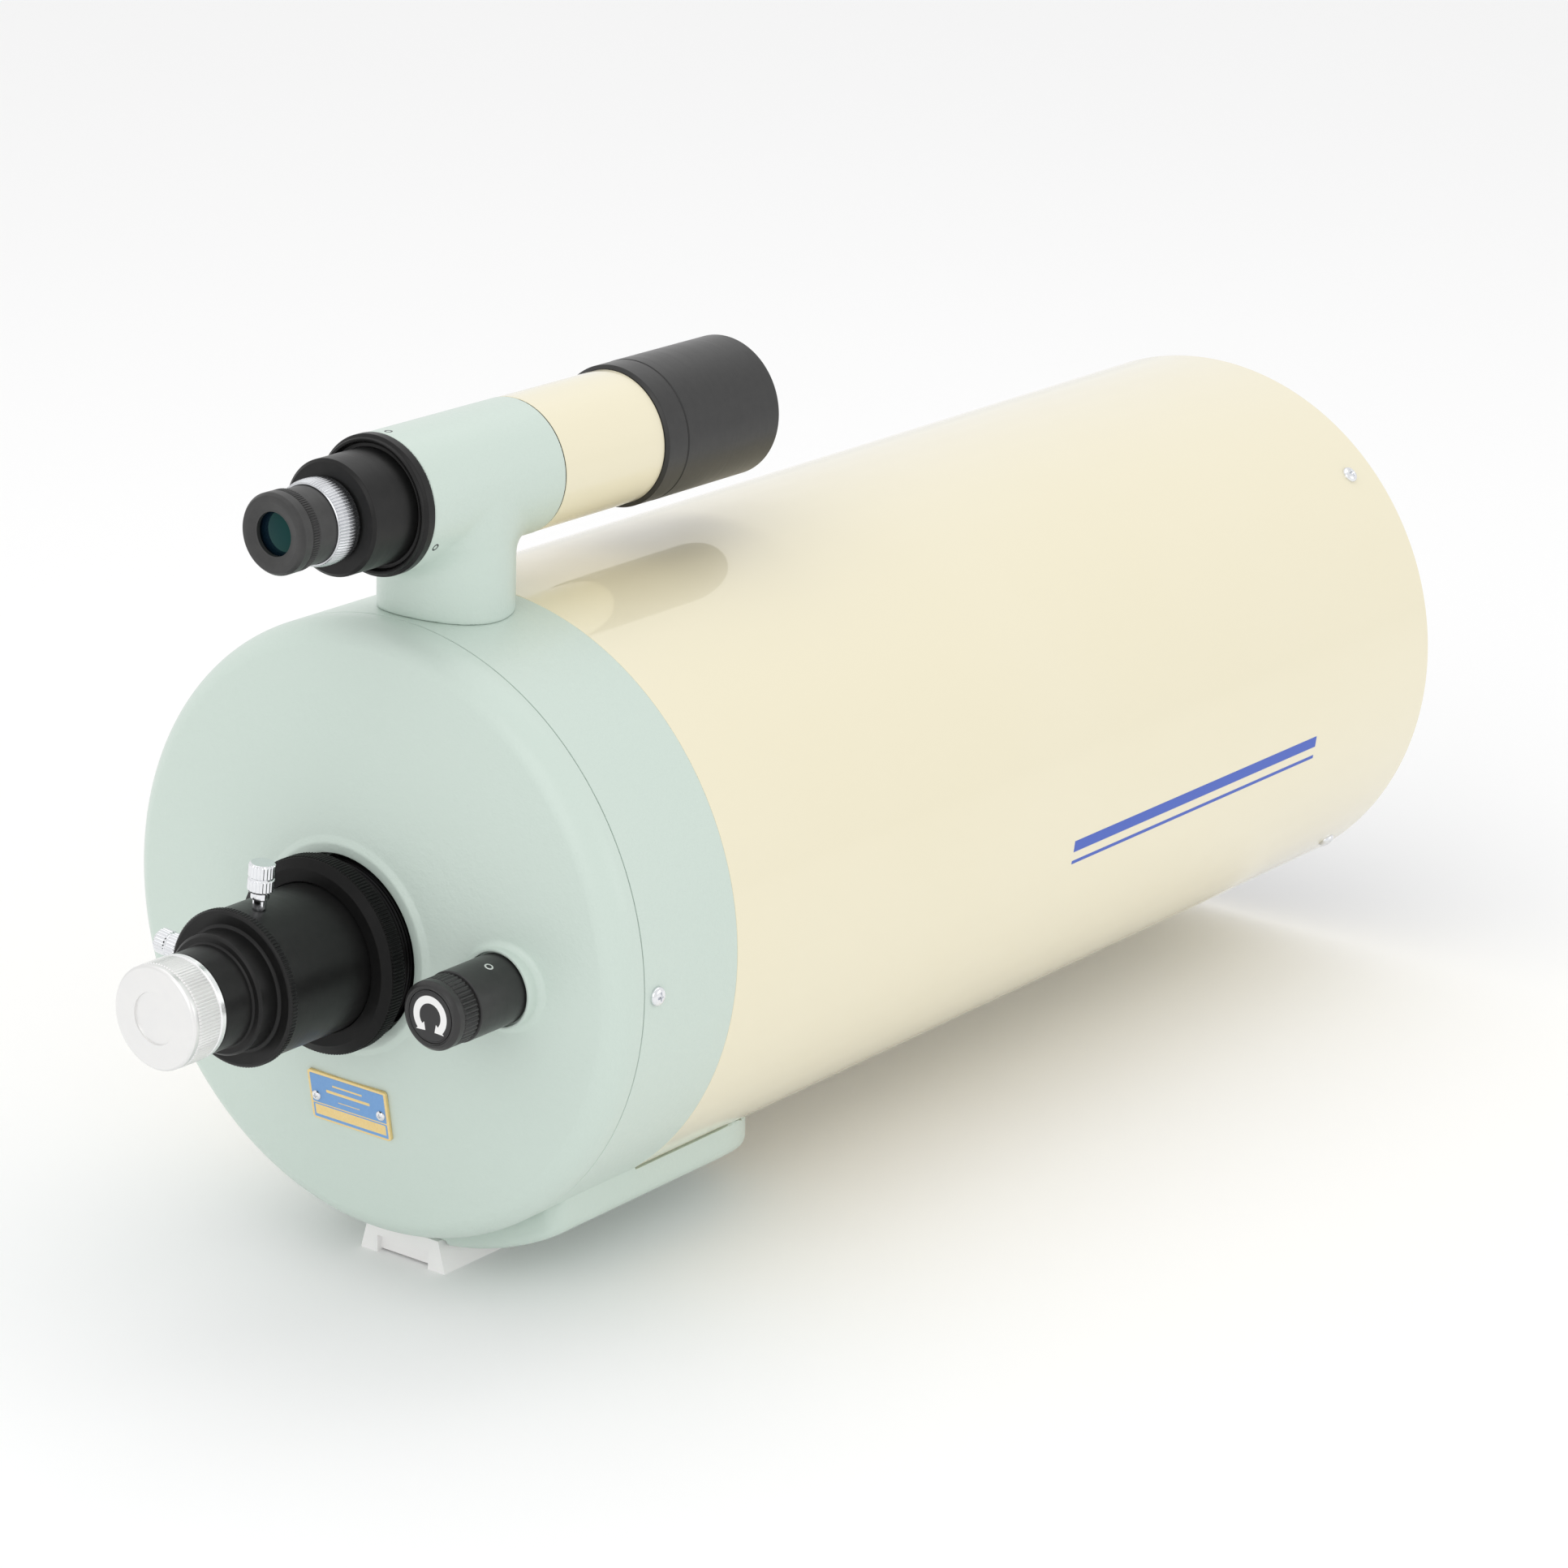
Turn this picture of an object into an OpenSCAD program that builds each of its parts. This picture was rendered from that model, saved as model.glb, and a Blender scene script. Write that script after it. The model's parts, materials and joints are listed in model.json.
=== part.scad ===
// Cassegrain reflecting telescope with a 7x50 finder, standing on its dovetail bar.
// Stations run along the tube from the joint line between the rear cover and the rear cell (0),
// towards the open front (+X). Heights in station space are counted from the tube's axis.

/* [Tube] */
// Outside diameter of the main tube and of the rear cell
tube_d = 244; // [238:1:250]
// Wall thickness of the main tube
tube_wall = 1.6; // [1.2:0.1:2.5]
// Station of the tube's open front end
tube_end = 568; // [540:1:620]
// Height of the tube's axis above the dovetail bar's underside
axis_h = 140; // [139:0.5:142]

/* [Rear cell and cover] */
// Length of the rear cell that shows between the cover and the tube
cell_len = 55.6; // [54:0.2:58]
// Wall thickness of the rear cell
cell_wall = 6; // [5:0.5:7]
// Radius of the rear cover's rounded edge
cover_edge_r = 12.7; // [10:0.1:13]
// Station of the rear cover's hub
hub_x = -30.2; // [-32:0.1:-29]
// Width of the saddle under the cell
saddle_w = 150.8; // [140:0.2:156]
// Station of the saddle's front end
saddle_end = 162; // [150:1:170]

/* [Dovetail bar] */
// Width of the bar's underside
bar_w = 43; // [40:0.5:46]
// Height of the bar
bar_h = 13; // [9:0.5:13]
// Length of the bar
bar_len = 150; // [140:1:158]
// Angle of the bar's flanks from upright
bar_flank = 15; // [10:1:20]

/* [Eyepiece end] */
// Outside diameter of the eyepiece sleeve
sleeve_d = 57.8; // [57:0.2:60]
// Bore of the eyepiece sleeve
sleeve_bore = 50.9; // [50.8:0.1:51]
// Bore of the eyepiece adapter
eyepiece_bore = 31.9; // [31.8:0.05:32]
// Outside diameter of the large knurled locking ring
lock_ring_d = 77; // [74:0.5:80]
// Outside diameter of the dust cap
cap_d = 40; // [39.4:0.2:42]

/* [Focus] */
// Distance of the focus knob from the tube's axis
knob_offset = 73.2; // [70:0.2:76]
// Outside diameter of the focus knob
knob_d = 27.4; // [26:0.2:28]

/* [Finder] */
// Height of the finder's axis above the tube's axis
finder_h = 167.6; // [166:0.2:172]
// Outside diameter of the finder's tube and of its sleeve
finder_d = 53; // [52.6:0.1:54]
// Outside diameter of the finder's dew shield
shield_d = 56.6; // [56:0.2:58]
// Station of the finder's pedestal
pedestal_x = 29.2; // [28:0.2:30]

/* [Hidden] */
$fn = 128;

// Clearances: a face that only stands near another, a turning or sliding fit, a screw in its thread
gap = 0.3;
running = 0.05;
seat = 0.05;
eps = 0.01;

// Tube, cell and cover
tube_r = tube_d / 2;
tube_in = tube_r - tube_wall;
cell_in = tube_r - cell_wall;
spigot_r = tube_in - 0.1;
spigot_end = cell_len + 14.4;
cover_x = -0.4;
cover_wall = 4;
cover_straight = -3.8;
cover_face_r = tube_r - cover_edge_r;
cover_face_x = cover_straight - cover_edge_r;
hub_r = 42.5;
hub_edge_x = -28.7;
hub_bore = 36.4;
cone_rise = (cover_face_x - hub_edge_x) / (cover_face_r - hub_r);
cone_slope = atan(cone_rise);
skirt_out = cell_in - 0.4;
skirt_in = skirt_out - 3.6;
skirt_end = 12;
web_x0 = 14;
web_x1 = 22;
cell_hub_r = 36;
cell_hub_x = -20;
neck_bore = 24;
saddle_x = 8;
saddle_r = 140.8;
saddle_rise = saddle_r - tube_r - 10.5;
saddle_corner = 55;
saddle_rear_corner = 8;

// Bar
bar_x = 6;
bar_mid = bar_x + bar_len / 2;
bar_top_half = bar_w / 2 - bar_h * tan(bar_flank);
bar_slot_half = bar_top_half + 1.8;
bar_screw_x = [21, 61, 116];
bar_relief_w = 26;
bar_relief_len = 20;

// Front end
ring_x0 = 541;
ring_x1 = 563;
ring_in = 112;
front_screw_x = 548.6;
front_screw_angles = [45, 135, 225, 315];
cell_screw_x = 7;
cell_screw_angles = [0, 180];
vane_x0 = 530;
vane_len = 20;
vane_t = 1.6;
hub_plate_x0 = 538;
collimation_angles = [90, 210, 330];
collimation_r = 20;
holder_x0 = 512;
holder_x1 = 524;
secondary_r = 31;

// Primary mirror and its carrier
baffle_r = 22;
baffle_in = 20.5;
baffle_end = 330;
mirror_r = 106;
mirror_x0 = 54;
mirror_x1 = 78;
mirror_curve = 1220;
carrier_r = 30;
carrier_x0 = 30;
carrier_x1 = 84;
carrier_plate = 6;

// Focus gear
shaft_r = 3;
shaft_end = 46;
knob_x0 = -64;
knob_x1 = -25.4;
knob_grip_x1 = -51.2;
knob_r = knob_d / 2;
disc_r = 10;
boss_r = 15.6;
boss_x = -26.6;
bush_r = 8;
set_screw_x = -36.5;
set_screw_turn = 20;

// Eyepiece end
sleeve_r = sleeve_d / 2;
sleeve_in = sleeve_bore / 2;
sleeve_x0 = -86.5;
sleeve_flange_x = -43.9;
neck_x = -41.2;
neck_r = 33.92;
ring_lip_x = -44.2;
ring_rear_x = -46.2;
ring_front_x = -37;
lock_ring_r = lock_ring_d / 2;
thumb_x = -77.8;
thumb_turn = 5.5;
adapter_r = sleeve_in - running;
adapter_bore = eyepiece_bore / 2;
nose_r = 18.3;
nose_x = -127;
cap_r = cap_d / 2;
cap_x0 = -130.5;
cap_x1 = -113.4;

// Finder
finder_r = finder_d / 2;
shield_r = shield_d / 2;
sleeve_front = 67.4;
bracket_rear = -8.3;
bracket_bore = 25.1;
pedestal_r = 26.2;
eye_barrel_r = 14.6;
eye_bore = 12.4;
finder_set_x = -4;

// Places its children at a station, in the tube's own coordinates
module at_tube(x = 0, y = 0, z = 0) {
    translate([x - bar_mid, y, axis_h + z]) children();
}

// Revolves a flat outline of [radius, station] points about an axis parallel to the tube
module revolve(y = 0, z = 0) {
    at_tube(0, y, z) rotate([0, 90, 0]) rotate_extrude() children();
}

module turned(points, y = 0, z = 0) {
    revolve(y, z) polygon(points);
}

module ring(x0, x1, r0, r1, y = 0, z = 0) {
    turned([[r0, x0], [r1, x0], [r1, x1], [r0, x1]], y, z);
}

// Points its children's +Z outwards from the tube's axis, at an angle counted from +Y towards +Z
module radial(x, angle, r = 0, z = 0) {
    at_tube(x, 0, z) rotate([angle, 0, 0]) translate([0, r, 0]) rotate([-90, 0, 0]) children();
}

// A hole along the focus shaft's axis
module shaft_hole(r, x0, x1) {
    at_tube(x0, -knob_offset, 0) rotate([0, 90, 0]) cylinder(r = r, h = x1 - x0);
}

module cross_slot(w, depth) {
    for (turn = [0, 90])
        rotate([0, 0, turn]) translate([-w / 2, -w / 8, -depth]) cube([w, w / 4, depth + 1]);
}

// Pan-head screw: the head stands on z = 0 and the shank goes below it
module pan_screw(head_r, head_h, shank_r, shank_len) {
    difference() {
        union() {
            rotate_extrude() difference() {
                union() {
                    square([head_r, head_h * 0.6]);
                    translate([0, head_h * 0.6]) square([head_r * 0.72, head_h * 0.4]);
                    translate([head_r * 0.72, head_h * 0.6]) circle(r = head_h * 0.4);
                }
                translate([-head_r, -head_h]) square([head_r, 3 * head_h]);
                translate([0, -head_h]) square([2 * head_r, head_h]);
            }
            translate([0, 0, -shank_len]) cylinder(r = shank_r, h = shank_len + eps);
        }
        translate([0, 0, head_h]) cross_slot(head_r * 1.2, head_h * 0.55);
    }
}

module socket_screw(head_r, head_h, shank_r, shank_len) {
    difference() {
        union() {
            cylinder(r = head_r, h = head_h);
            translate([0, 0, -shank_len]) cylinder(r = shank_r, h = shank_len + eps);
        }
        translate([0, 0, head_h * 0.4]) cylinder(r = head_r * 0.55, h = head_h, $fn = 6);
    }
}

// A spherical surface's distance from its edge plane, at radius r of a disc of radius edge
function sag(r, edge, curve) = (edge * edge - r * r) / (2 * curve);
function arc_steps(r0, r1, count) = [for (i = [0:count]) r0 + (r1 - r0) * i / count];

module main_tube() {
    color([0.94, 0.91, 0.80]) difference() {
        ring(cell_len, tube_end, tube_in, tube_r);
        for (a = front_screw_angles)
            radial(front_screw_x, a, tube_in - 1) cylinder(r = 2.4, h = 4);
    }
}

module front_ring() {
    color([0.12, 0.12, 0.12]) difference() {
        ring(ring_x0, ring_x1, ring_in, tube_in - 0.1);
        for (a = front_screw_angles)
            radial(front_screw_x, a, ring_in - 1) cylinder(r = 2 + seat, h = 12);
    }
}

module front_screws() {
    color([0.8, 0.8, 0.82])
        for (a = front_screw_angles)
            radial(front_screw_x, a, tube_r + seat) pan_screw(3.8, 2.2, 2, 13);
}

// A hole parallel to the tube, on the circle of the collimation screws
module collimation_hole(x, angle, r, len) {
    at_tube(x, collimation_r * cos(angle), collimation_r * sin(angle))
        rotate([0, 90, 0]) cylinder(r = r, h = len);
}

// Four thin vanes with feet against the front ring, and the plate that holds the secondary
module spider() {
    color([0.12, 0.12, 0.12]) difference() {
        union() {
            ring(hub_plate_x0, vane_x0 + vane_len, 0, 29);
            for (a = front_screw_angles)
                at_tube(vane_x0) rotate([a, 0, 0]) {
                    translate([0, 27, -vane_t / 2]) cube([vane_len, ring_in - 31, vane_t]);
                    translate([front_screw_x - vane_x0 - 8, ring_in - 4.4, -6]) cube([16, 4, 12]);
                }
        }
        for (a = front_screw_angles)
            radial(front_screw_x, a, ring_in - 4) cylinder(r = 2 + seat, h = 5);
        for (a = collimation_angles)
            collimation_hole(hub_plate_x0 - 1, a, 2.3, 20);
    }
}

module secondary_holder() {
    color([0.15, 0.15, 0.15]) difference() {
        ring(holder_x0, holder_x1, 0, secondary_r + 2);
        for (a = collimation_angles)
            collimation_hole(holder_x0 + 3, a, 2 + seat, 20);
    }
}

module secondary_mirror() {
    convex = [for (r = arc_steps(0, secondary_r, 10)) [r, 502 - sag(r, secondary_r, 420)]];
    color([0.85, 0.88, 0.9]) turned(concat(convex, [[secondary_r, holder_x0], [0, holder_x0]]));
}

module secondary_baffle() {
    inner = secondary_r + 2.3;
    color([0.1, 0.1, 0.1])
        turned([[37, 486], [38, 486], [inner + 1.2, holder_x1], [inner, holder_x1]]);
}

module collimation_screws() {
    color([0.6, 0.6, 0.62])
        for (a = collimation_angles)
            at_tube(vane_x0 + vane_len, collimation_r * cos(a), collimation_r * sin(a))
                rotate([0, 90, 0]) socket_screw(3.5, 4, 2, 32);
}

module saddle() {
    difference() {
        intersection() {
            ring(saddle_x, saddle_end, cell_in + 1, saddle_r);
            at_tube(saddle_x, 0, saddle_rise) rotate([0, 90, 0])
                cylinder(r = saddle_r, h = saddle_end - saddle_x);
            at_tube(0, 0, -saddle_r - 1) linear_extrude(height = 60) saddle_outline();
        }
        ring(cell_len, saddle_end + 1, 0, tube_r + seat);
        at_tube(0, -bar_slot_half, -saddle_r - 1)
            cube([saddle_end + 1, 2 * bar_slot_half, saddle_r + 1 - axis_h + bar_h]);
    }
}

// Outline of the saddle seen from above
module saddle_outline() {
    half = saddle_w / 2;
    front = saddle_end - saddle_corner;
    rear = saddle_x + saddle_rear_corner;
    translate([rear, -half]) square([front - rear, saddle_w]);
    translate([front - 1, saddle_corner - half])
        square([saddle_corner + 1, saddle_w - 2 * saddle_corner]);
    translate([saddle_x, saddle_rear_corner - half])
        square([saddle_rear_corner + 1, saddle_w - 2 * saddle_rear_corner]);
    for (side = [-1, 1]) {
        translate([front, side * (half - saddle_corner)]) circle(r = saddle_corner);
        translate([rear, side * (half - saddle_rear_corner)]) circle(r = saddle_rear_corner);
    }
}

// The rear cell: outer wall, web behind the mirror, hub for the light path, and the saddle
module rear_cell() {
    color([0.74, 0.83, 0.80]) difference() {
        union() {
            turned([[neck_bore, cell_hub_x], [cell_hub_r, cell_hub_x], [cell_hub_r, web_x0],
                [cell_in, web_x0], [cell_in, 0], [tube_r, 0], [tube_r, cell_len],
                [spigot_r, cell_len], [spigot_r, spigot_end], [cell_in, spigot_end],
                [cell_in, web_x1], [baffle_r + seat, web_x1], [baffle_r + seat, 6], [neck_bore, 6]]);
            saddle();
        }
        for (a = cell_screw_angles) {
            radial(cell_screw_x, a, cell_in - 1) cylinder(r = 2.2, h = cell_wall + 2);
            radial(cell_screw_x, a, tube_r + eps) cylinder(r = 4.8, h = 12);
        }
        shaft_hole(bush_r + seat, web_x0 - 1, web_x1 + 1);
        for (x = bar_screw_x)
            translate([x - bar_mid, 0, 0]) cylinder(r = 3 + seat, h = 17);
        for (side = [-1, 1])
            at_tube(pedestal_x, side * 12, 100) cylinder(r = 2.7, h = 30);
    }
}

// Seat of the nameplate on the cover's cone; local +Z leaves the cover
module at_nameplate() {
    plate_z = -65.2;
    surface_x = hub_edge_x + (-plate_z - hub_r) * cone_rise;
    at_tube(surface_x, 0, plate_z) rotate([0, -cone_slope, 0]) rotate([90, 0, -90]) children();
}

module plate_outline(w, h, corner) {
    translate([-w / 2 + corner, -h / 2]) square([w - 2 * corner, h]);
    translate([-w / 2, -h / 2 + corner]) square([w, h - 2 * corner]);
    for (x = [-1, 1])
        for (y = [-1, 1])
            translate([x * (w / 2 - corner), y * (h / 2 - corner)]) circle(r = corner);
}

module rear_cover() {
    color([0.78, 0.87, 0.84]) difference() {
        union() {
            revolve() difference() {
                union() {
                    polygon([[hub_bore, 0], [hub_bore, hub_x], [hub_r - 1.5, hub_x],
                        [hub_r, hub_edge_x], [cover_face_r, cover_face_x], [cover_face_r, 0]]);
                    translate([cover_face_r - 1, cover_straight])
                        square([cover_edge_r + 1, cover_x - cover_straight]);
                    translate([cover_face_r, cover_straight]) circle(r = cover_edge_r);
                }
                polygon([[hub_bore - 1, hub_x + cover_wall], [hub_r, hub_edge_x + cover_wall],
                    [cover_face_r, cover_face_x + cover_wall], [skirt_in, -6.5], [skirt_in, 20],
                    [hub_bore - 1, 20]]);
                translate([skirt_in - 1, cover_x]) square([30, 30]);
            }
            ring(cover_straight, skirt_end, skirt_in, skirt_out);
            at_tube(boss_x, -knob_offset, 0) rotate([0, 90, 0]) cylinder(r = boss_r, h = 8);
        }
        shaft_hole(5, -40, 5);
        shaft_hole(14.3, -40, boss_x + 1.9);
        for (a = cell_screw_angles)
            radial(cell_screw_x, a, skirt_in - 1) cylinder(r = 2 + seat, h = 8);
        at_nameplate() {
            translate([0, 0, -0.35]) linear_extrude(height = 4) plate_outline(40.3, 22.1, 1.9);
            for (side = [-1, 1])
                translate([side * 16.2, 0, -2.5]) cylinder(r = 1.05, h = 4);
        }
    }
}

module cell_screws() {
    color([0.8, 0.8, 0.82])
        for (a = cell_screw_angles)
            radial(cell_screw_x, a, tube_r + seat) pan_screw(3.8, 2.2, 2, 9);
}

module nameplate() {
    color([0.25, 0.45, 0.75]) at_nameplate() difference() {
        translate([0, 0, -0.3]) linear_extrude(height = 1.2) plate_outline(39.5, 21.3, 1.5);
        for (side = [-1, 1])
            translate([side * 16.2, 0, -1]) cylinder(r = 1.15, h = 4);
    }
}

module nameplate_screws() {
    color([0.85, 0.85, 0.87]) at_nameplate()
        for (side = [-1, 1])
            translate([side * 16.2, 0, 0.95]) pan_screw(2.1, 1.2, 1, 3);
}

module dovetail_bar() {
    color([0.86, 0.86, 0.86]) difference() {
        translate([-bar_len / 2, 0, 0]) rotate([90, 0, 90]) linear_extrude(height = bar_len)
            polygon([[-bar_w / 2, 0], [bar_w / 2, 0], [bar_top_half, bar_h], [-bar_top_half, bar_h]]);
        for (end = [-1, 1]) {
            translate([end * (bar_len - bar_relief_len) / 2, 0, 0])
                cube([bar_relief_len + eps, bar_relief_w, 2], center = true);
            translate([end * bar_len / 2, 0, 3.5]) cube([5, bar_relief_w, 7.2], center = true);
        }
        for (x = bar_screw_x)
            translate([x - bar_mid, 0, 0]) {
                translate([0, 0, -1]) cylinder(r = 5.5, h = 7.2);
                translate([0, 0, 1]) cylinder(r = 3.3, h = bar_h);
            }
    }
}

module dovetail_screws() {
    color([0.3, 0.3, 0.32])
        for (x = bar_screw_x)
            translate([x - bar_mid, 0, 6.15]) rotate([180, 0, 0]) socket_screw(5, 5.4, 3, 10);
}

module baffle_tube() {
    color([0.1, 0.1, 0.1]) ring(6.2, baffle_end, baffle_in, baffle_r);
}

module primary_mirror() {
    bore = carrier_r + gap;
    concave = [for (r = arc_steps(mirror_r, bore, 12)) [r, mirror_x1 - sag(r, mirror_r, mirror_curve)]];
    color([0.88, 0.91, 0.93]) turned(concat([[bore, mirror_x0], [mirror_r, mirror_x0]], concave));
}

module mirror_carrier() {
    bore = baffle_r + running;
    color([0.7, 0.7, 0.72]) difference() {
        turned([[bore, carrier_x0], [88, carrier_x0], [88, carrier_x0 + carrier_plate],
            [carrier_r, carrier_x0 + carrier_plate], [carrier_r, mirror_x0 - carrier_plate],
            [60, mirror_x0 - carrier_plate], [60, mirror_x0], [carrier_r, mirror_x0],
            [carrier_r, carrier_x1], [bore, carrier_x1]]);
        shaft_hole(bush_r + seat, carrier_x0 - 1, carrier_x0 + carrier_plate + 1);
    }
}

module mirror_clamp_ring() {
    lowest = mirror_x1 - sag(carrier_r, mirror_r, mirror_curve);
    color([0.2, 0.2, 0.2]) ring(lowest + 0.4, carrier_x1, carrier_r + seat, 38);
}

module focus_nut() {
    color([0.8, 0.65, 0.3])
        turned([[shaft_r + running, carrier_x0], [bush_r, carrier_x0],
            [bush_r, carrier_x0 + carrier_plate + seat], [11, carrier_x0 + carrier_plate + seat],
            [11, carrier_x0 + carrier_plate + 3], [shaft_r + running, carrier_x0 + carrier_plate + 3]],
            -knob_offset);
}

module focus_shaft() {
    color([0.75, 0.75, 0.77]) at_tube(-58, -knob_offset, 0) rotate([0, 90, 0])
        cylinder(r = shaft_r, h = shaft_end + 58);
}

module shaft_collar() {
    color([0.4, 0.4, 0.42]) ring(web_x1 + 0.8, web_x1 + 2.6, shaft_r + 0.02, 7, -knob_offset);
}

module focus_bushing() {
    color([0.8, 0.65, 0.3])
        turned([[shaft_r + running, 9], [11, 9], [11, web_x0 - seat], [bush_r, web_x0 - seat],
            [bush_r, web_x1 + 0.5], [shaft_r + running, web_x1 + 0.5]], -knob_offset);
}

module focus_knob() {
    color([0.1, 0.1, 0.1]) difference() {
        union() {
            turned([[0, knob_x0], [knob_r - 1.8, knob_x0], [knob_r - 0.4, knob_x0 + 1.4],
                [knob_r - 0.4, knob_grip_x1], [0, knob_grip_x1]], -knob_offset);
            ring(knob_grip_x1, knob_x1, 0, knob_r, -knob_offset);
        }
        shaft_hole(disc_r + 0.3, knob_x0 - 1, knob_x0 + 0.9);
        shaft_hole(shaft_r + 0.02, -58.3, 0);
        radial_at_knob() cylinder(r = 1.6 + seat, h = 20);
    }
}

// Leaves the focus shaft sideways through the knob's skirt
module radial_at_knob() {
    at_tube(set_screw_x, -knob_offset, 0) rotate([set_screw_turn, 0, 0])
        translate([0, 0, shaft_r + 0.1]) children();
}

module knob_direction_disc() {
    color([0.92, 0.92, 0.9]) ring(knob_x0 + 0.3, knob_x0 + 0.85, 0, disc_r, -knob_offset);
}

module knob_set_screw() {
    color([0.5, 0.5, 0.52]) radial_at_knob() difference() {
        cylinder(r = 1.6, h = knob_r - shaft_r - 0.5);
        translate([0, 0, 8]) cylinder(r = 0.9, h = 6, $fn = 6);
    }
}

module rear_neck() {
    color([0.1, 0.1, 0.1])
        turned([[neck_bore, cell_hub_x - seat], [neck_r, cell_hub_x - seat], [neck_r, neck_x + 0.2],
            [30, neck_x + 0.2], [30, -30], [neck_bore, -30]]);
}

module locking_ring() {
    color([0.08, 0.08, 0.08])
        turned([[neck_r + 0.08, ring_front_x], [lock_ring_r, ring_front_x], [lock_ring_r, -44],
            [lock_ring_r - 4, ring_rear_x], [sleeve_r + 0.4, ring_rear_x],
            [sleeve_r + 0.4, ring_lip_x], [neck_r + 0.08, ring_lip_x]]);
}

module eyepiece_sleeve() {
    color([0.1, 0.1, 0.1]) difference() {
        turned([[sleeve_in, sleeve_x0], [sleeve_r, sleeve_x0], [sleeve_r, sleeve_flange_x],
            [33.4, sleeve_flange_x], [33.4, neck_x], [30 - running, neck_x], [30 - running, -31],
            [sleeve_in, -31]]);
        for (a = [0, 90])
            radial(thumb_x, a + thumb_turn, 20) cylinder(r = 2 + running, h = 12);
    }
}

// Thumbscrews stand radially in the sleeve: a threaded shank with a shoulder, and a knurled head
module thumbscrew_shank(angle) {
    radial(thumb_x, angle + thumb_turn) {
        translate([0, 0, sleeve_in + gap]) cylinder(r = 2, h = 20);
        translate([0, 0, sleeve_r + 0.7]) cylinder(r = 2.6, h = 4);
        translate([0, 0, sleeve_r + 4.5]) cylinder(r = 3.5, h = 2.4);
    }
}

module thumbscrew_head(angle) {
    radial(thumb_x, angle + thumb_turn) translate([0, 0, sleeve_r + 7]) difference() {
        rotate_extrude()
            polygon([[0, 0], [4.6, 0], [5, 0.4], [5, 5], [4.7, 5.2], [4.7, 5.8], [5, 6], [5, 10.9],
                [4.6, 11.3], [0, 11.3]]);
        translate([0, 0, -1]) cylinder(r = 2 + running, h = 11);
    }
}

module top_thumbscrew_shank() {
    color([0.82, 0.82, 0.84]) thumbscrew_shank(90);
}

module top_thumbscrew_head() {
    color([0.85, 0.85, 0.87]) thumbscrew_head(90);
}

module side_thumbscrew_shank() {
    color([0.82, 0.82, 0.84]) thumbscrew_shank(0);
}

module side_thumbscrew_head() {
    color([0.85, 0.85, 0.87]) thumbscrew_head(0);
}

module eyepiece_adapter() {
    flange_x = sleeve_x0 - 0.2;
    color([0.1, 0.1, 0.1])
        turned([[adapter_bore, nose_x], [nose_r, nose_x], [nose_r, -113], [19.5, -113],
            [19.5, -99], [22.2, -99], [23.1, -98.1], [23.1, -90.6], [29.6, -89.8],
            [30.2, -89.2], [30.2, flange_x], [adapter_r, flange_x], [adapter_r, -58], [22, -58],
            [22, -90], [adapter_bore, -95]]);
}

module dust_cap() {
    inner = nose_r + running;
    color([0.86, 0.86, 0.87])
        turned([[0, cap_x0 + 0.5], [10, cap_x0 + 0.5], [10, cap_x0], [cap_r - 0.8, cap_x0],
            [cap_r, cap_x0 + 0.8], [cap_r, cap_x1], [inner, cap_x1], [inner, nose_x - 0.4],
            [0, nose_x - 0.4]]);
}

module finder_bracket() {
    color([0.76, 0.86, 0.83]) difference() {
        union() {
            ring(bracket_rear, sleeve_front, 0, finder_r + 0.1, 0, finder_h);
            at_tube(pedestal_x, 0, 100) cylinder(r = pedestal_r, h = finder_h - 100);
        }
        ring(bracket_rear - 1, sleeve_front + 1, 0, bracket_bore, 0, finder_h);
        ring(-20, 80, 0, tube_r + seat);
        for (side = [-1, 1])
            at_tube(pedestal_x, side * 12, 110) cylinder(r = 2.5 + seat, h = 24);
        finder_set_holes(1.6, bracket_bore - 1, 4);
    }
}

// Three holes round the finder's axis, near the rear end of its sleeve
module finder_set_holes(r, start, h) {
    for (a = [90, 210, 330])
        radial(finder_set_x, a, start, finder_h) cylinder(r = r, h = h);
}

module bracket_screws() {
    color([0.5, 0.5, 0.52])
        for (side = [-1, 1])
            at_tube(pedestal_x, side * 12, cell_in - 1.2) rotate([180, 0, 0])
                socket_screw(4.2, 4, 2.5, 17);
}

module finder_tube() {
    color([0.94, 0.91, 0.80])
        turned([[23.2, 6], [bracket_bore - 0.1, 6], [bracket_bore - 0.1, sleeve_front + 0.2],
            [finder_r, sleeve_front + 0.2], [finder_r, 127], [25.6, 127], [25.6, 136], [23.2, 136]],
            0, finder_h);
}

module finder_set_screws() {
    color([0.2, 0.2, 0.2]) finder_set_holes(1.55, bracket_bore, 1.1);
}

module finder_objective_cell() {
    color([0.1, 0.1, 0.1])
        turned([[25.7, 127.2], [shield_r - 0.1, 127.2], [shield_r - 0.1, 139.6], [26.4, 139.6],
            [26.4, 150], [25.15, 150], [25.15, 138], [23.5, 138], [23.5, 136.2], [25.7, 136.2]],
            0, finder_h);
}

module finder_crown_lens() {
    front = [for (r = arc_steps(25.1, 0, 8)) [r, 147 + sag(r, 25.1, 150)]];
    rear = [for (r = arc_steps(0, 25.1, 8)) [r, 144.4 - sag(r, 25.1, 180)]];
    color([0.7, 0.8, 0.85]) turned(concat(rear, front), 0, finder_h);
}

module finder_flint_lens() {
    rear = [[0, 138.2], [25.1, 138.2]];
    front = [for (r = arc_steps(25.1, 0, 8)) [r, 144.1 - sag(r, 25.1, 180)]];
    color([0.7, 0.8, 0.85]) turned(concat(rear, front), 0, finder_h);
}

module finder_lens_ring() {
    color([0.1, 0.1, 0.1]) ring(147.9, 150, 23.6, 25.1, 0, finder_h);
}

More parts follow.
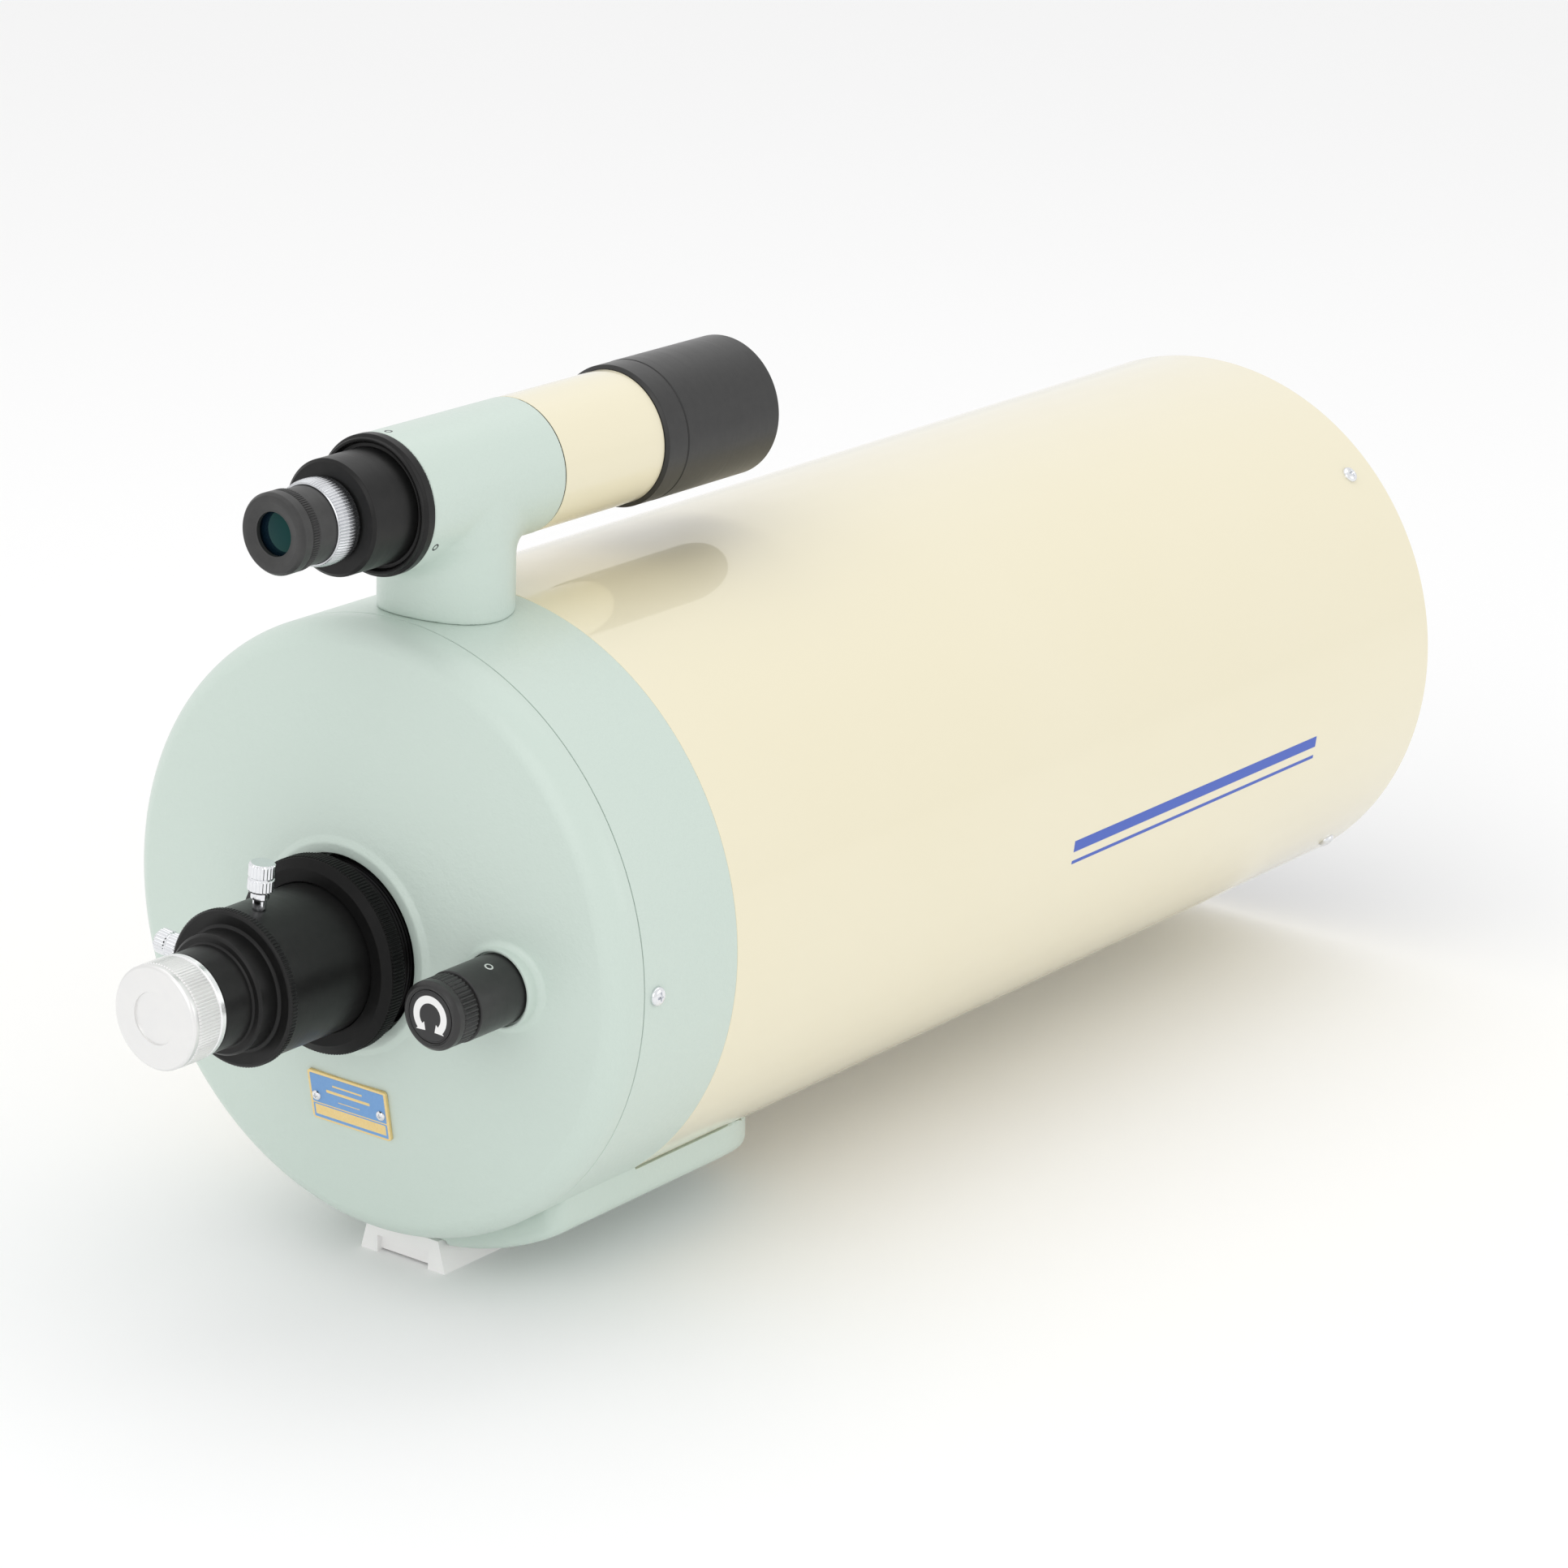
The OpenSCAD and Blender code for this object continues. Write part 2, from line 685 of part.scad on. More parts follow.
module finder_dew_shield() {
    color([0.1, 0.1, 0.1])
        turned([[26.6, 140], [shield_r, 140], [shield_r, 197.7], [shield_r - 0.6, 198.3],
            [26.6, 198.3]], 0, finder_h);
}

module finder_focus_barrel() {
    bore = eye_barrel_r + 0.06;
    collar = finder_r + 0.4;
    color([0.1, 0.1, 0.1])
        turned([[bore, -36.4], [20.9, -36.4], [22.1, -35.4], [22.1, -14.3], [25.4, -14.3],
            [collar, -12.8], [collar, bracket_rear - 0.2], [bracket_bore - 0.1, bracket_rear - 0.2],
            [bracket_bore - 0.1, 4], [21, 4], [21, -19], [bore, -19]], 0, finder_h);
}

module finder_lock_ring() {
    bore = eye_barrel_r + 0.08;
    color([0.85, 0.85, 0.87])
        turned([[bore, -48.3], [15.2, -48.3], [15.9, -47.4], [16.4, -44.6], [16.4, -40],
            [15.8, -36.9], [bore, -36.9]], 0, finder_h);
}

module finder_eyepiece() {
    color([0.1, 0.1, 0.1])
        turned([[8.3, -66.3], [9, -66.3], [12.6, -67.2], [14.2, -67.2], [15.4, -65.8],
            [15.4, -57.5], [eye_barrel_r, -57.5], [eye_barrel_r, -22], [eye_bore, -22],
            [eye_bore, -64.4], [8.3, -64.4]], 0, finder_h);
}

module finder_eye_lens() {
    rear = [for (r = arc_steps(0, 12.1, 6)) [r, -62.6 - sag(r, 12.1, 60)]];
    color([0.2, 0.4, 0.4]) turned(concat(rear, [[12.1, -58], [0, -58]]), 0, finder_h);
}

module finder_field_lens() {
    front = [for (r = arc_steps(12.1, 0, 6)) [r, -44 + sag(r, 12.1, 60)]];
    color([0.5, 0.6, 0.6]) turned(concat([[0, -48], [12.1, -48]], front), 0, finder_h);
}

module finder_reticle() {
    color([0.1, 0.1, 0.1]) {
        ring(-34, -31, 10, 12, 0, finder_h);
        for (turn = [0, 90])
            at_tube(-32.5, 0, finder_h) rotate([turn, 0, 0]) cube([0.4, 21, 0.4], center = true);
    }
}

main_tube();
front_ring();
front_screws();
spider();
secondary_holder();
secondary_mirror();
secondary_baffle();
collimation_screws();
rear_cell();
rear_cover();
cell_screws();
nameplate();
nameplate_screws();
dovetail_bar();
dovetail_screws();
baffle_tube();
primary_mirror();
mirror_carrier();
mirror_clamp_ring();
focus_nut();
focus_shaft();
shaft_collar();
focus_bushing();
focus_knob();
knob_direction_disc();
knob_set_screw();
rear_neck();
locking_ring();
eyepiece_sleeve();
top_thumbscrew_shank();
top_thumbscrew_head();
side_thumbscrew_shank();
side_thumbscrew_head();
eyepiece_adapter();
dust_cap();
finder_bracket();
bracket_screws();
finder_tube();
finder_set_screws();
finder_objective_cell();
finder_crown_lens();
finder_flint_lens();
finder_lens_ring();
finder_dew_shield();
finder_focus_barrel();
finder_lock_ring();
finder_eyepiece();
finder_eye_lens();
finder_field_lens();
finder_reticle();
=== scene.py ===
"""The looks of a cassegrain telescope with a finder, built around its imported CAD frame.

Lengths in outlines and fields are millimetres. A round piece is turned about its axis from an outline of
(radius, distance from its rear end) points, and a cast piece is the surface where a distance field is zero.
"""

import json
import math

import bmesh
import bpy
import numpy as np
from mathutils import Matrix, Vector

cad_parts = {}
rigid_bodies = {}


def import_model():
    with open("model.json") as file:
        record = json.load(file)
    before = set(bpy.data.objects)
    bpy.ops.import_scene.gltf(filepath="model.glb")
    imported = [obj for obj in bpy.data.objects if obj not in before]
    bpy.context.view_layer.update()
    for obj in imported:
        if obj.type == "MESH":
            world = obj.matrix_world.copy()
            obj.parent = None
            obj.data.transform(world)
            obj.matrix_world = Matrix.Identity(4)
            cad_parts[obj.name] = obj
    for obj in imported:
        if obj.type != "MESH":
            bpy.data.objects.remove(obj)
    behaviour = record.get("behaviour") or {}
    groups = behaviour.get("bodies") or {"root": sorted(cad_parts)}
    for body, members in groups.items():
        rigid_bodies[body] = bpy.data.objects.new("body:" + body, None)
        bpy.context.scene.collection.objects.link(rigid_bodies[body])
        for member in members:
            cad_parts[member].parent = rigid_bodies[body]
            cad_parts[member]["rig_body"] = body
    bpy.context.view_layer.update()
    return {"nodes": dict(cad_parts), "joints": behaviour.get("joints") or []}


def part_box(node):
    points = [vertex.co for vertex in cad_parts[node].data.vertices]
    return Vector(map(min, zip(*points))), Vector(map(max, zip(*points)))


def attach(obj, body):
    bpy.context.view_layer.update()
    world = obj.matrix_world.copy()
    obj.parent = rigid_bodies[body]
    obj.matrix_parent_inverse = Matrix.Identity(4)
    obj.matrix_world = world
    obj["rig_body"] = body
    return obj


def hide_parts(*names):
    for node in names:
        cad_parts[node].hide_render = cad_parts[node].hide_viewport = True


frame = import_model()

MM = 0.001
ALONG = Vector((1, 0, 0))
SMOOTH_BELOW = math.radians(32)
TRAPEZOID = (1, 0, 0, 1)
FLUTE = (1, 0.86, 0.45, 0.08, 0, 0.08, 0.45, 0.86)
FLUTE_TOOTH = (1, 0.35, 0, 0, 0.35)

JOINTS = {joint["name"]: joint for joint in frame["joints"]}


# ------------ places


def place(node):
    """The rear end of a round node on its axis, in metres, and its radius and length in millimetres."""
    low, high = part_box(node)
    start = Vector((low.x, (low.y + high.y) / 2, (low.z + high.z) / 2))
    return start, (high.z - low.z) / 2 / MM, (high.x - low.x) / MM


def middle_x(node):
    """Halfway along a node, in metres."""
    low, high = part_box(node)
    return (low.x + high.x) / 2


TUBE_REAR, TUBE_R, TUBE_LEN = place("main_tube")
FINDER_REAR = place("finder_tube")[0]
KNOB_REAR, KNOB_R, KNOB_LEN = place("focus_knob")
# Stations along the tube start at the rear of the cell's outer wall, which is this long.
CELL_LEN = 55.6
STATION_0 = TUBE_REAR - ALONG * CELL_LEN * MM


def at_station(x, y=0.0, z=0.0):
    """A point in metres from its station along the tube and its offsets from the tube's axis."""
    return STATION_0 + Vector((x, y, z)) * MM


def outward(angle):
    """The direction that leaves the tube's axis at an angle in degrees from +Y towards +Z."""
    return Vector((0, math.cos(math.radians(angle)), math.sin(math.radians(angle))))


# ------------ meshes


def linked(name, data):
    """Puts a mesh, a light or a camera into the scene as an object."""
    thing = bpy.data.objects.new(name, data)
    bpy.context.scene.collection.objects.link(thing)
    return thing


def finished(name, vertices, faces, materials, slots=None):
    """Makes a smooth-shaded mesh object, closed and with its faces turned outwards."""
    mesh = bpy.data.meshes.new(name)
    mesh.from_pydata(vertices.tolist(), [], faces.tolist())
    for material in materials:
        mesh.materials.append(material)
    if slots is not None:
        mesh.polygons.foreach_set("material_index", slots.astype(np.int32))
    shape = bmesh.new()
    shape.from_mesh(mesh)
    bmesh.ops.remove_doubles(shape, verts=shape.verts, dist=1e-7)
    bmesh.ops.recalc_face_normals(shape, faces=shape.faces)
    shape.to_mesh(mesh)
    shape.free()
    mesh.shade_smooth()
    mesh.set_sharp_from_angle(angle=SMOOTH_BELOW)
    return linked(name, mesh)


def even_normals(piece):
    """Keeps flat faces flat beside their small rounded edges."""
    modifier = piece.modifiers.new("even_normals", "WEIGHTED_NORMAL")
    modifier.keep_sharp = True
    modifier.weight = 80
    return piece


def rounded(outline, edge, closed):
    """Rows of (radius, distance, tooth, slot) with each corner turned into a small curve.

    A corner is (radius, distance), with its rounding and its share of the tooth depth after them, and a
    bare number between corners picks the material slot from there on."""
    corners, slot = [], 0
    for item in outline:
        if isinstance(item, int):
            slot = item
            continue
        values = list(item) + [edge, 0.0][len(item) - 2 :]
        corners.append((np.array(values[:2], float), values[2], values[3], slot))
    rows = []
    for i, (here, radius, tooth, slot) in enumerate(corners):
        at_end = not closed and i in (0, len(corners) - 1)
        before = corners[i - 1][0] - here
        after = corners[(i + 1) % len(corners)][0] - here
        spans = np.linalg.norm(before), np.linalg.norm(after)
        if at_end or radius <= 0 or here[0] <= 0 or min(spans) < 1e-6:
            rows.append((*here, tooth, slot))
            continue
        turn = math.acos(np.clip(before @ after / (spans[0] * spans[1]), -1, 1))
        reach = min(radius / math.tan(max(turn, 0.2) / 2), 0.45 * spans[0], 0.45 * spans[1])
        first, last = here + before / spans[0] * reach, here + after / spans[1] * reach
        steps = max(1, math.ceil((math.pi - turn) / math.radians(24)))
        for s in np.linspace(0, 1, steps + 1):
            point = (1 - s) ** 2 * first + 2 * s * (1 - s) * here + s * s * last
            rows.append((*point, tooth, slot))
    return rows


def ring_faces(rings, count, closed=True):
    """Quads between rings of count points each. Where closed, the last ring meets the first."""
    i, j = np.meshgrid(np.arange(rings if closed else rings - 1), np.arange(count), indexing="ij")
    i_next, j_next = (i + 1) % rings, (j + 1) % count
    corners = [i * count + j, i_next * count + j, i_next * count + j_next, i * count + j_next]
    return np.stack(corners, -1).reshape(-1, 4)


def turned(name, start, outline, materials, axis=ALONG, teeth=0, depth=0.3, pattern=TRAPEZOID,
           segments=192, edge=0.2, closed=True):
    """Turns an outline about an axis. Rows with a tooth share are cut into teeth round the piece."""
    rows = rounded(outline, edge, closed)
    count = teeth * len(pattern) if teeth else segments
    angles = np.arange(count) * 2 * math.pi / count
    cut = np.resize(np.array(pattern, float), count)
    axis = Vector(axis).normalized()
    side = Vector((0, 1, 0)) if abs(axis.x) > 0.9 else Vector((1, 0, 0))
    up = axis.cross(side)
    radius, distance, tooth, slot = (np.array(column) for column in zip(*rows))
    reach = radius[:, None] - depth * tooth[:, None] * cut[None, :]
    round_the_axis = np.cos(angles)[:, None] * np.array(side) + np.sin(angles)[:, None] * np.array(up)
    points = distance[:, None, None] * np.array(axis) + reach[:, :, None] * round_the_axis[None]
    vertices = np.array(start) + points.reshape(-1, 3) * MM
    faces = ring_faces(len(rows), count, closed)
    slots = np.repeat(slot, count)[: len(faces)]
    return even_normals(finished(name, vertices, faces, materials, slots))


def blended(a, b, k):
    """The smaller of two fields, blended over a width of k."""
    h = np.clip(0.5 + 0.5 * (b - a) / k, 0, 1)
    return b + (a - b) * h - k * h * (1 - h)


def common(a, b, k=0.05):
    """The larger of two fields, which is what two solids share, with a rounded edge."""
    return -blended(-a, -b, k)


def projected(points, field, step):
    """Moves points onto the surface where the field is zero."""
    for _ in range(5):
        value = field(*points.T)
        probes = np.eye(3) * 0.1 * step
        rises = [field(*(points + probe).T) - field(*(points - probe).T) for probe in probes]
        slope = np.stack(rises, -1) / (2 * 0.1 * step)
        move = value / np.maximum((slope**2).sum(-1), 1e-6)
        points = points - np.clip(move, -step, step)[:, None] * slope
    return points


def field_surface(field, low, high, step):
    """Vertices and quads of the surface where field(x, y, z) is zero, on a grid of cells."""
    axes = [np.arange(a, b + step, step) for a, b in zip(low, high)]
    values = field(*np.meshgrid(*axes, indexing="ij"))
    cells = np.array(values.shape) - 1
    total, hits, quads = np.zeros((*cells, 3)), np.zeros(cells), []
    for axis in range(3):
        others = [k for k in range(3) if k != axis]
        a = np.take(values, range(cells[axis]), axis)
        b = np.take(values, range(1, cells[axis] + 1), axis)
        edges = np.argwhere((a < 0) != (b < 0))
        edges = edges[np.all((edges[:, others] > 0) & (edges[:, others] < cells[others]), axis=1)]
        ends = a[tuple(edges.T)], b[tuple(edges.T)]
        share = ends[0] / (ends[0] - ends[1])
        points = edges.astype(float)
        points[:, axis] += share
        around = []
        for offset in ((0, 0), (1, 0), (1, 1), (0, 1)):
            cell = edges.copy()
            cell[:, others] -= offset
            np.add.at(total, tuple(cell.T), points)
            np.add.at(hits, tuple(cell.T), 1)
            around.append(cell)
        quads.append(around)
    number = np.full(cells, -1)
    number[hits > 0] = np.arange(int((hits > 0).sum()))
    vertices = np.array(low) + step * total[hits > 0] / hits[hits > 0][:, None]
    faces = np.concatenate([np.stack([number[tuple(c.T)] for c in around], -1) for around in quads])
    return projected(vertices, field, step), faces


# A cast piece keeps this much room inside the low and high corners of its grid.
ROOM = 1.5


def cast(name, field, low, high, step, materials):
    """A piece with the shape of a field, which is in millimetres from the station origin."""
    vertices, faces = field_surface(field, low, high, step)
    return finished(name, np.array(STATION_0) + vertices * MM, faces, materials)


def copies(name, vertices, faces, places, materials):
    """One object that holds a small mesh at each place, with the mesh's +Z along the place's direction."""
    points = []
    for start, direction in places:
        spin = Vector(direction).to_track_quat("Z", "Y").to_matrix()
        points.append(np.array(start) + vertices @ np.array(spin).T * MM)
    offsets = np.arange(len(places)) * len(vertices)
    all_faces = np.concatenate([faces + offset for offset in offsets])
    return finished(name, np.concatenate(points), all_faces, materials)


def stands_for(piece, *nodes):
    """The piece rides where its first CAD node does and replaces the nodes."""
    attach(piece, frame["nodes"][nodes[0]]["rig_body"])
    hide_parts(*nodes)
    return piece


def rides_with(piece, node):
    """The piece is an extra part of a CAD node's surface."""
    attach(piece, frame["nodes"][node]["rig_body"])
    return piece


def turned_for(node, name, outline, materials, **how):
    """A piece that is turned from the rear end of a round CAD node, and stands for it."""
    return stands_for(turned(name, place(node)[0], outline, materials, **how), node)


# ------------ materials


NOISE_LOW, NOISE_HIGH = 0.3, 0.7


class Finish:
    """A procedural material: one shader, and textures that are laid out in the object's own metres."""

    def __init__(self, name, colour, roughness, **shader):
        self.material = bpy.data.materials.new(name)
        self.material.use_nodes = True
        self.nodes = self.material.node_tree.nodes
        self.links = self.material.node_tree.links
        self.shader = self.nodes["Principled BSDF"]
        self.shader.inputs["Base Color"].default_value = (*colour, 1)
        self.shader.inputs["Roughness"].default_value = roughness
        for socket, value in shader.items():
            self.shader.inputs[socket.replace("_", " ").title().replace("Ior", "IOR")].default_value = value
        self.place = self.nodes.new("ShaderNodeTexCoord").outputs["Object"]
        self.colour, self.roughness, self.height = colour, roughness, None

    def noise(self, scale, detail=3.0, stretch=(1, 1, 1)):
        """Noise with this many features to the metre, stretched along the axes."""
        mapping = self.nodes.new("ShaderNodeMapping")
        mapping.inputs["Scale"].default_value = stretch
        texture = self.nodes.new("ShaderNodeTexNoise")
        texture.inputs["Scale"].default_value = scale
        texture.inputs["Detail"].default_value = detail
        self.links.new(self.place, mapping.inputs["Vector"])
        self.links.new(mapping.outputs["Vector"], texture.inputs["Vector"])
        return texture.outputs["Fac"]

    def ramp(self, value, low, high):
        """Spreads the usual range of the noise from low to high."""
        node = self.nodes.new("ShaderNodeMapRange")
        node.inputs["From Min"].default_value = NOISE_LOW
        node.inputs["From Max"].default_value = NOISE_HIGH
        node.inputs["To Min"].default_value = low
        node.inputs["To Max"].default_value = high
        self.links.new(value, node.inputs["Value"])
        return node.outputs["Result"]

    def tint(self, value, amount, towards):
        """Moves the colour a little towards another one where the noise is high."""
        mix = self.nodes.new("ShaderNodeMix")
        mix.data_type = "RGBA"
        mix.inputs["A"].default_value = (*self.colour, 1)
        mix.inputs["B"].default_value = (*towards, 1)
        self.links.new(self.ramp(value, 0, amount), mix.inputs["Factor"])
        self.links.new(mix.outputs["Result"], self.shader.inputs["Base Color"])
        return self

    def uneven_gloss(self, value, spread):
        """Lets the roughness rise and fall with the noise."""
        low, high = self.roughness - spread, self.roughness + spread
        self.links.new(self.ramp(value, low, high), self.shader.inputs["Roughness"])
        return self

    def bump(self, value, height, strength=1.0):
        """Adds relief of this height in metres; a later call lies on top of an earlier one."""
        node = self.nodes.new("ShaderNodeBump")
        node.inputs["Distance"].default_value = height
        node.inputs["Strength"].default_value = strength
        self.links.new(value, node.inputs["Height"])
        if self.height is not None:
            self.links.new(self.height, node.inputs["Normal"])
        self.height = node.outputs["Normal"]
        self.links.new(self.height, self.shader.inputs["Normal"])
        return self


ROUND_X = (1, 0.012, 0.012)


def ivory_paint():
    finish = Finish("ivory_paint", (0.82, 0.757, 0.552), 0.32, coat_weight=1.0, coat_roughness=0.035)
    finish.tint(finish.noise(9), 0.3, (0.84, 0.78, 0.60))
    finish.uneven_gloss(finish.noise(60), 0.03)
    return finish.bump(finish.noise(260, 2), 0.00002, 0.25).material


def green_paint():
    finish = Finish("green_paint", (0.575, 0.675, 0.612), 0.40, coat_weight=0.35, coat_roughness=0.25)
    finish.tint(finish.noise(14), 0.25, (0.60, 0.69, 0.63))
    finish.uneven_gloss(finish.noise(700, 2), 0.05)
    finish.bump(finish.noise(420, 2), 0.0004, 0.42)
    return finish.bump(finish.noise(1100, 2), 0.00012, 0.5).material


def black_anodised(name="black_anodised", roughness=0.36, grey=0.008, shine=0.26):
    finish = Finish(name, (grey, grey, grey), roughness, specular_ior_level=shine)
    finish.tint(finish.noise(300, 4), 0.4, (1.8 * grey, 1.75 * grey, 1.7 * grey))
    finish.uneven_gloss(finish.noise(2600, 3, ROUND_X), 0.05)
    finish.bump(finish.noise(5200, 2, ROUND_X), 0.00003, 0.35)
    return finish.bump(finish.noise(3800, 2), 0.00002, 0.25).material


def flat_black():
    finish = Finish("flat_black", (0.014, 0.014, 0.014), 0.85)
    finish.tint(finish.noise(180, 3), 0.5, (0.024, 0.024, 0.023))
    return finish.bump(finish.noise(2200, 3), 0.0001, 0.5).material


def satin_aluminium():
    finish = Finish("satin_aluminium", (0.85, 0.845, 0.835), 0.36, metallic=1.0)
    finish.tint(finish.noise(120, 3), 0.4, (0.80, 0.80, 0.80))
    finish.uneven_gloss(finish.noise(1800, 2), 0.05)
    return finish.bump(finish.noise(4200, 3), 0.00003, 0.35).material


def bead_blasted_aluminium():
    finish = Finish("bead_blasted_aluminium", (0.97, 0.955, 0.945), 0.5, metallic=0.05)
    finish.tint(finish.noise(90, 3), 0.4, (0.90, 0.90, 0.90))
    finish.uneven_gloss(finish.noise(900, 2), 0.06)
    return finish.bump(finish.noise(2600, 3), 0.00006, 0.5).material


def bright_aluminium():
    finish = Finish("bright_aluminium", (0.93, 0.93, 0.935), 0.24, metallic=1.0)
    finish.tint(finish.noise(400, 2), 0.3, (0.88, 0.88, 0.89))
    return finish.bump(finish.noise(5600, 2, ROUND_X), 0.00002, 0.3).material


def chrome():
    finish = Finish("chrome", (0.83, 0.84, 0.86), 0.09, metallic=1.0)
    finish.tint(finish.noise(500, 3), 0.4, (0.74, 0.75, 0.78))
    finish.uneven_gloss(finish.noise(1500, 2), 0.04)
    return finish.bump(finish.noise(900, 2), 0.00001, 0.2).material


def ring_chrome():
    finish = Finish("ring_chrome", (0.62, 0.63, 0.65), 0.2, metallic=1.0)
    finish.tint(finish.noise(700, 3), 0.4, (0.54, 0.55, 0.58))
    return finish.bump(finish.noise(3200, 2), 0.00002, 0.3).material


def steel(name, colour, roughness):
    finish = Finish(name, colour, roughness, metallic=1.0)
    finish.tint(finish.noise(700, 3), 0.5, tuple(0.75 * c for c in colour))
    finish.uneven_gloss(finish.noise(2400, 2), 0.06)
    return finish.bump(finish.noise(4000, 2, ROUND_X), 0.00002, 0.4).material


def brass():
    finish = Finish("bearing_brass", (0.72, 0.53, 0.22), 0.28, metallic=1.0)
    finish.tint(finish.noise(600, 3), 0.5, (0.58, 0.40, 0.16))
    return finish.bump(finish.noise(4000, 2, ROUND_X), 0.00002, 0.4).material


def mirror_coating():
    finish = Finish("mirror_coating", (0.90, 0.92, 0.94), 0.015, metallic=1.0)
    return finish.tint(finish.noise(40, 2), 0.2, (0.86, 0.89, 0.92)).material


def ground_glass():
    finish = Finish("ground_glass", (0.55, 0.62, 0.60), 0.5, specular_ior_level=0.4)
    finish.tint(finish.noise(150, 3), 0.5, (0.46, 0.54, 0.52))
    return finish.bump(finish.noise(2500, 3), 0.00004, 0.4).material


def coated_glass():
    finish = Finish("coated_glass", (0.80, 0.92, 0.90), 0.02, transmission_weight=1.0, ior=1.52,
                    specular_tint=(0.25, 0.85, 0.62, 1))
    return finish.tint(finish.noise(60, 2), 0.2, (0.72, 0.88, 0.90)).material


# The eye lens is opaque and near black instead of clear: painted shade for the dark inside of the finder
# seen through the glass. Its green reflections come from the coating's specular tint.
def eye_glass():
    finish = Finish("eye_glass", (0.004, 0.010, 0.020), 0.04, specular_tint=(0.12, 0.75, 0.55, 1))
    return finish.tint(finish.noise(90, 2), 0.4, (0.004, 0.022, 0.022)).material


def plate_enamel():
    finish = Finish("plate_enamel", (0.135, 0.33, 0.66), 0.3, coat_weight=0.5, coat_roughness=0.15)
    finish.tint(finish.noise(900, 3), 0.5, (0.18, 0.38, 0.70))
    return finish.bump(finish.noise(3000, 2), 0.00002, 0.3).material


def plate_gold():
    finish = Finish("plate_gold", (0.86, 0.64, 0.27), 0.36, metallic=0.55)
    finish.tint(finish.noise(1200, 3), 0.5, (0.92, 0.74, 0.40))
    return finish.bump(finish.noise(4000, 2, (0.05, 1, 1)), 0.00002, 0.4).material


def print_ink(name, colour):
    finish = Finish(name, colour, 0.4)
    finish.tint(finish.noise(1500, 3), 0.4, tuple(0.93 * c for c in colour))
    return finish.bump(finish.noise(4000, 2), 0.00001, 0.3).material


IVORY = ivory_paint()
GREEN = green_paint()
BLACK = black_anodised()
BLACK_FACE = black_anodised("black_anodised_face", 0.42, 0.026, 0.5)
BLACK_SHEEN = black_anodised("black_anodised_sheen", 0.34, 0.016, 0.5)
BLACK_DEEP = black_anodised("black_anodised_deep", 0.4, 0.006, 0.14)
FLAT = flat_black()
SATIN = satin_aluminium()
BLASTED = bead_blasted_aluminium()
BRIGHT = bright_aluminium()
CHROME = chrome()
RING_CHROME = ring_chrome()
STEEL = steel("screw_steel", (0.56, 0.56, 0.58), 0.24)
DARK_STEEL = steel("dark_steel", (0.07, 0.07, 0.075), 0.32)
BRASS = brass()
MIRROR = mirror_coating()
GROUND = ground_glass()
GLASS = coated_glass()
EYE_GLASS = eye_glass()
ENAMEL = plate_enamel()
GOLD = plate_gold()
WHITE_INK = print_ink("white_ink", (0.86, 0.86, 0.85))
BLACK_INK = print_ink("black_ink", (0.018, 0.018, 0.019))
BLUE_INK = print_ink("blue_ink", (0.045, 0.11, 0.52))


# ------------ tube and mirrors


def sag(radius, curve):
    """How far a face with this radius of curvature falls away at a radius from its axis."""
    return radius**2 / (2 * curve)


def make_tube():
    wall, bands = TUBE_R - 1.6, 40
    outline = [1, (wall, 0), 0, (TUBE_R, 0, 0.3), (TUBE_R, TUBE_LEN, 0.5), 1, (wall, TUBE_LEN, 0.4)]
    outline += [(wall, TUBE_LEN * (1 - i / bands), 0) for i in range(1, bands)]
    turned_for("main_tube", "tube_shell", outline, [IVORY, FLAT], segments=384)


def make_front_ring():
    _, radius, length = place("front_ring")
    inner, grooves = radius - 8.3, 6
    step = (length - 3) / grooves
    outline = [(radius, 0), (radius, length, 0.4), (inner + 1.2, length, 0.6), (inner, length - 1.2, 0.3)]
    for i in range(grooves):
        x = length - 2 - i * step
        outline += [(inner, x, 0.1), (inner + 0.8, x - 0.5 * step, 0.1)]
    outline += [(inner, 0.8, 0.2), (inner + 0.8, 0)]
    turned_for("front_ring", "front_stop_ring", outline, [FLAT], segments=256)


def make_primary_mirror():
    _, radius, _ = place("primary_mirror")
    bore, thickness, curve = 30.3, 24.0, 1220.0
    dip = thickness - sag(radius, curve)
    face = [(r, dip + sag(r, curve), 0) for r in np.linspace(radius - 0.6, bore, 24)]
    outline = [1, (bore, 0), (radius, 0, 0.6), (radius, thickness - 0.6, 0.3), 0, *face]
    turned_for("primary_mirror", "primary_mirror_glass", outline, [MIRROR, GROUND], segments=256)


def make_secondary_mirror():
    _, radius, length = place("secondary_mirror")
    curve = 420.0
    face = [(r, sag(r, curve), 0) for r in np.linspace(0, radius - 0.3, 16)]
    outline = [*face, 1, (radius, sag(radius, curve) + 0.3, 0.2), (radius, length, 0.4), (0, length)]
    turned_for("secondary_mirror", "secondary_mirror_glass", outline, [MIRROR, GROUND], closed=False)


def make_baffle_tube():
    _, radius, length = place("baffle_tube")
    wall, nose = radius - 1.5, radius - 0.3
    outline = [(radius, 0), (radius, length - 14, 0.2), (nose, length - 13.5, 0.1),
               (nose, length - 0.3, 0.2), (wall, length, 0.1), (wall, 0)]
    turned_for("baffle_tube", "baffle_tube_turned", outline, [FLAT])


def make_secondary_baffle():
    _, radius, length = place("secondary_baffle")
    outline = [(radius - 1, 0), (radius, 0, 0.3), (radius - 3.5, length, 0.2), (radius - 4.7, length)]
    turned_for("secondary_baffle", "secondary_baffle_turned", outline, [FLAT])


# Each stripe's angle round the tube in degrees, and its height.
STRIPES = ((186.4, 5.0), (189.8, 1.6))
STRIPE_START, STRIPE_LEN = 284.0, 190.0


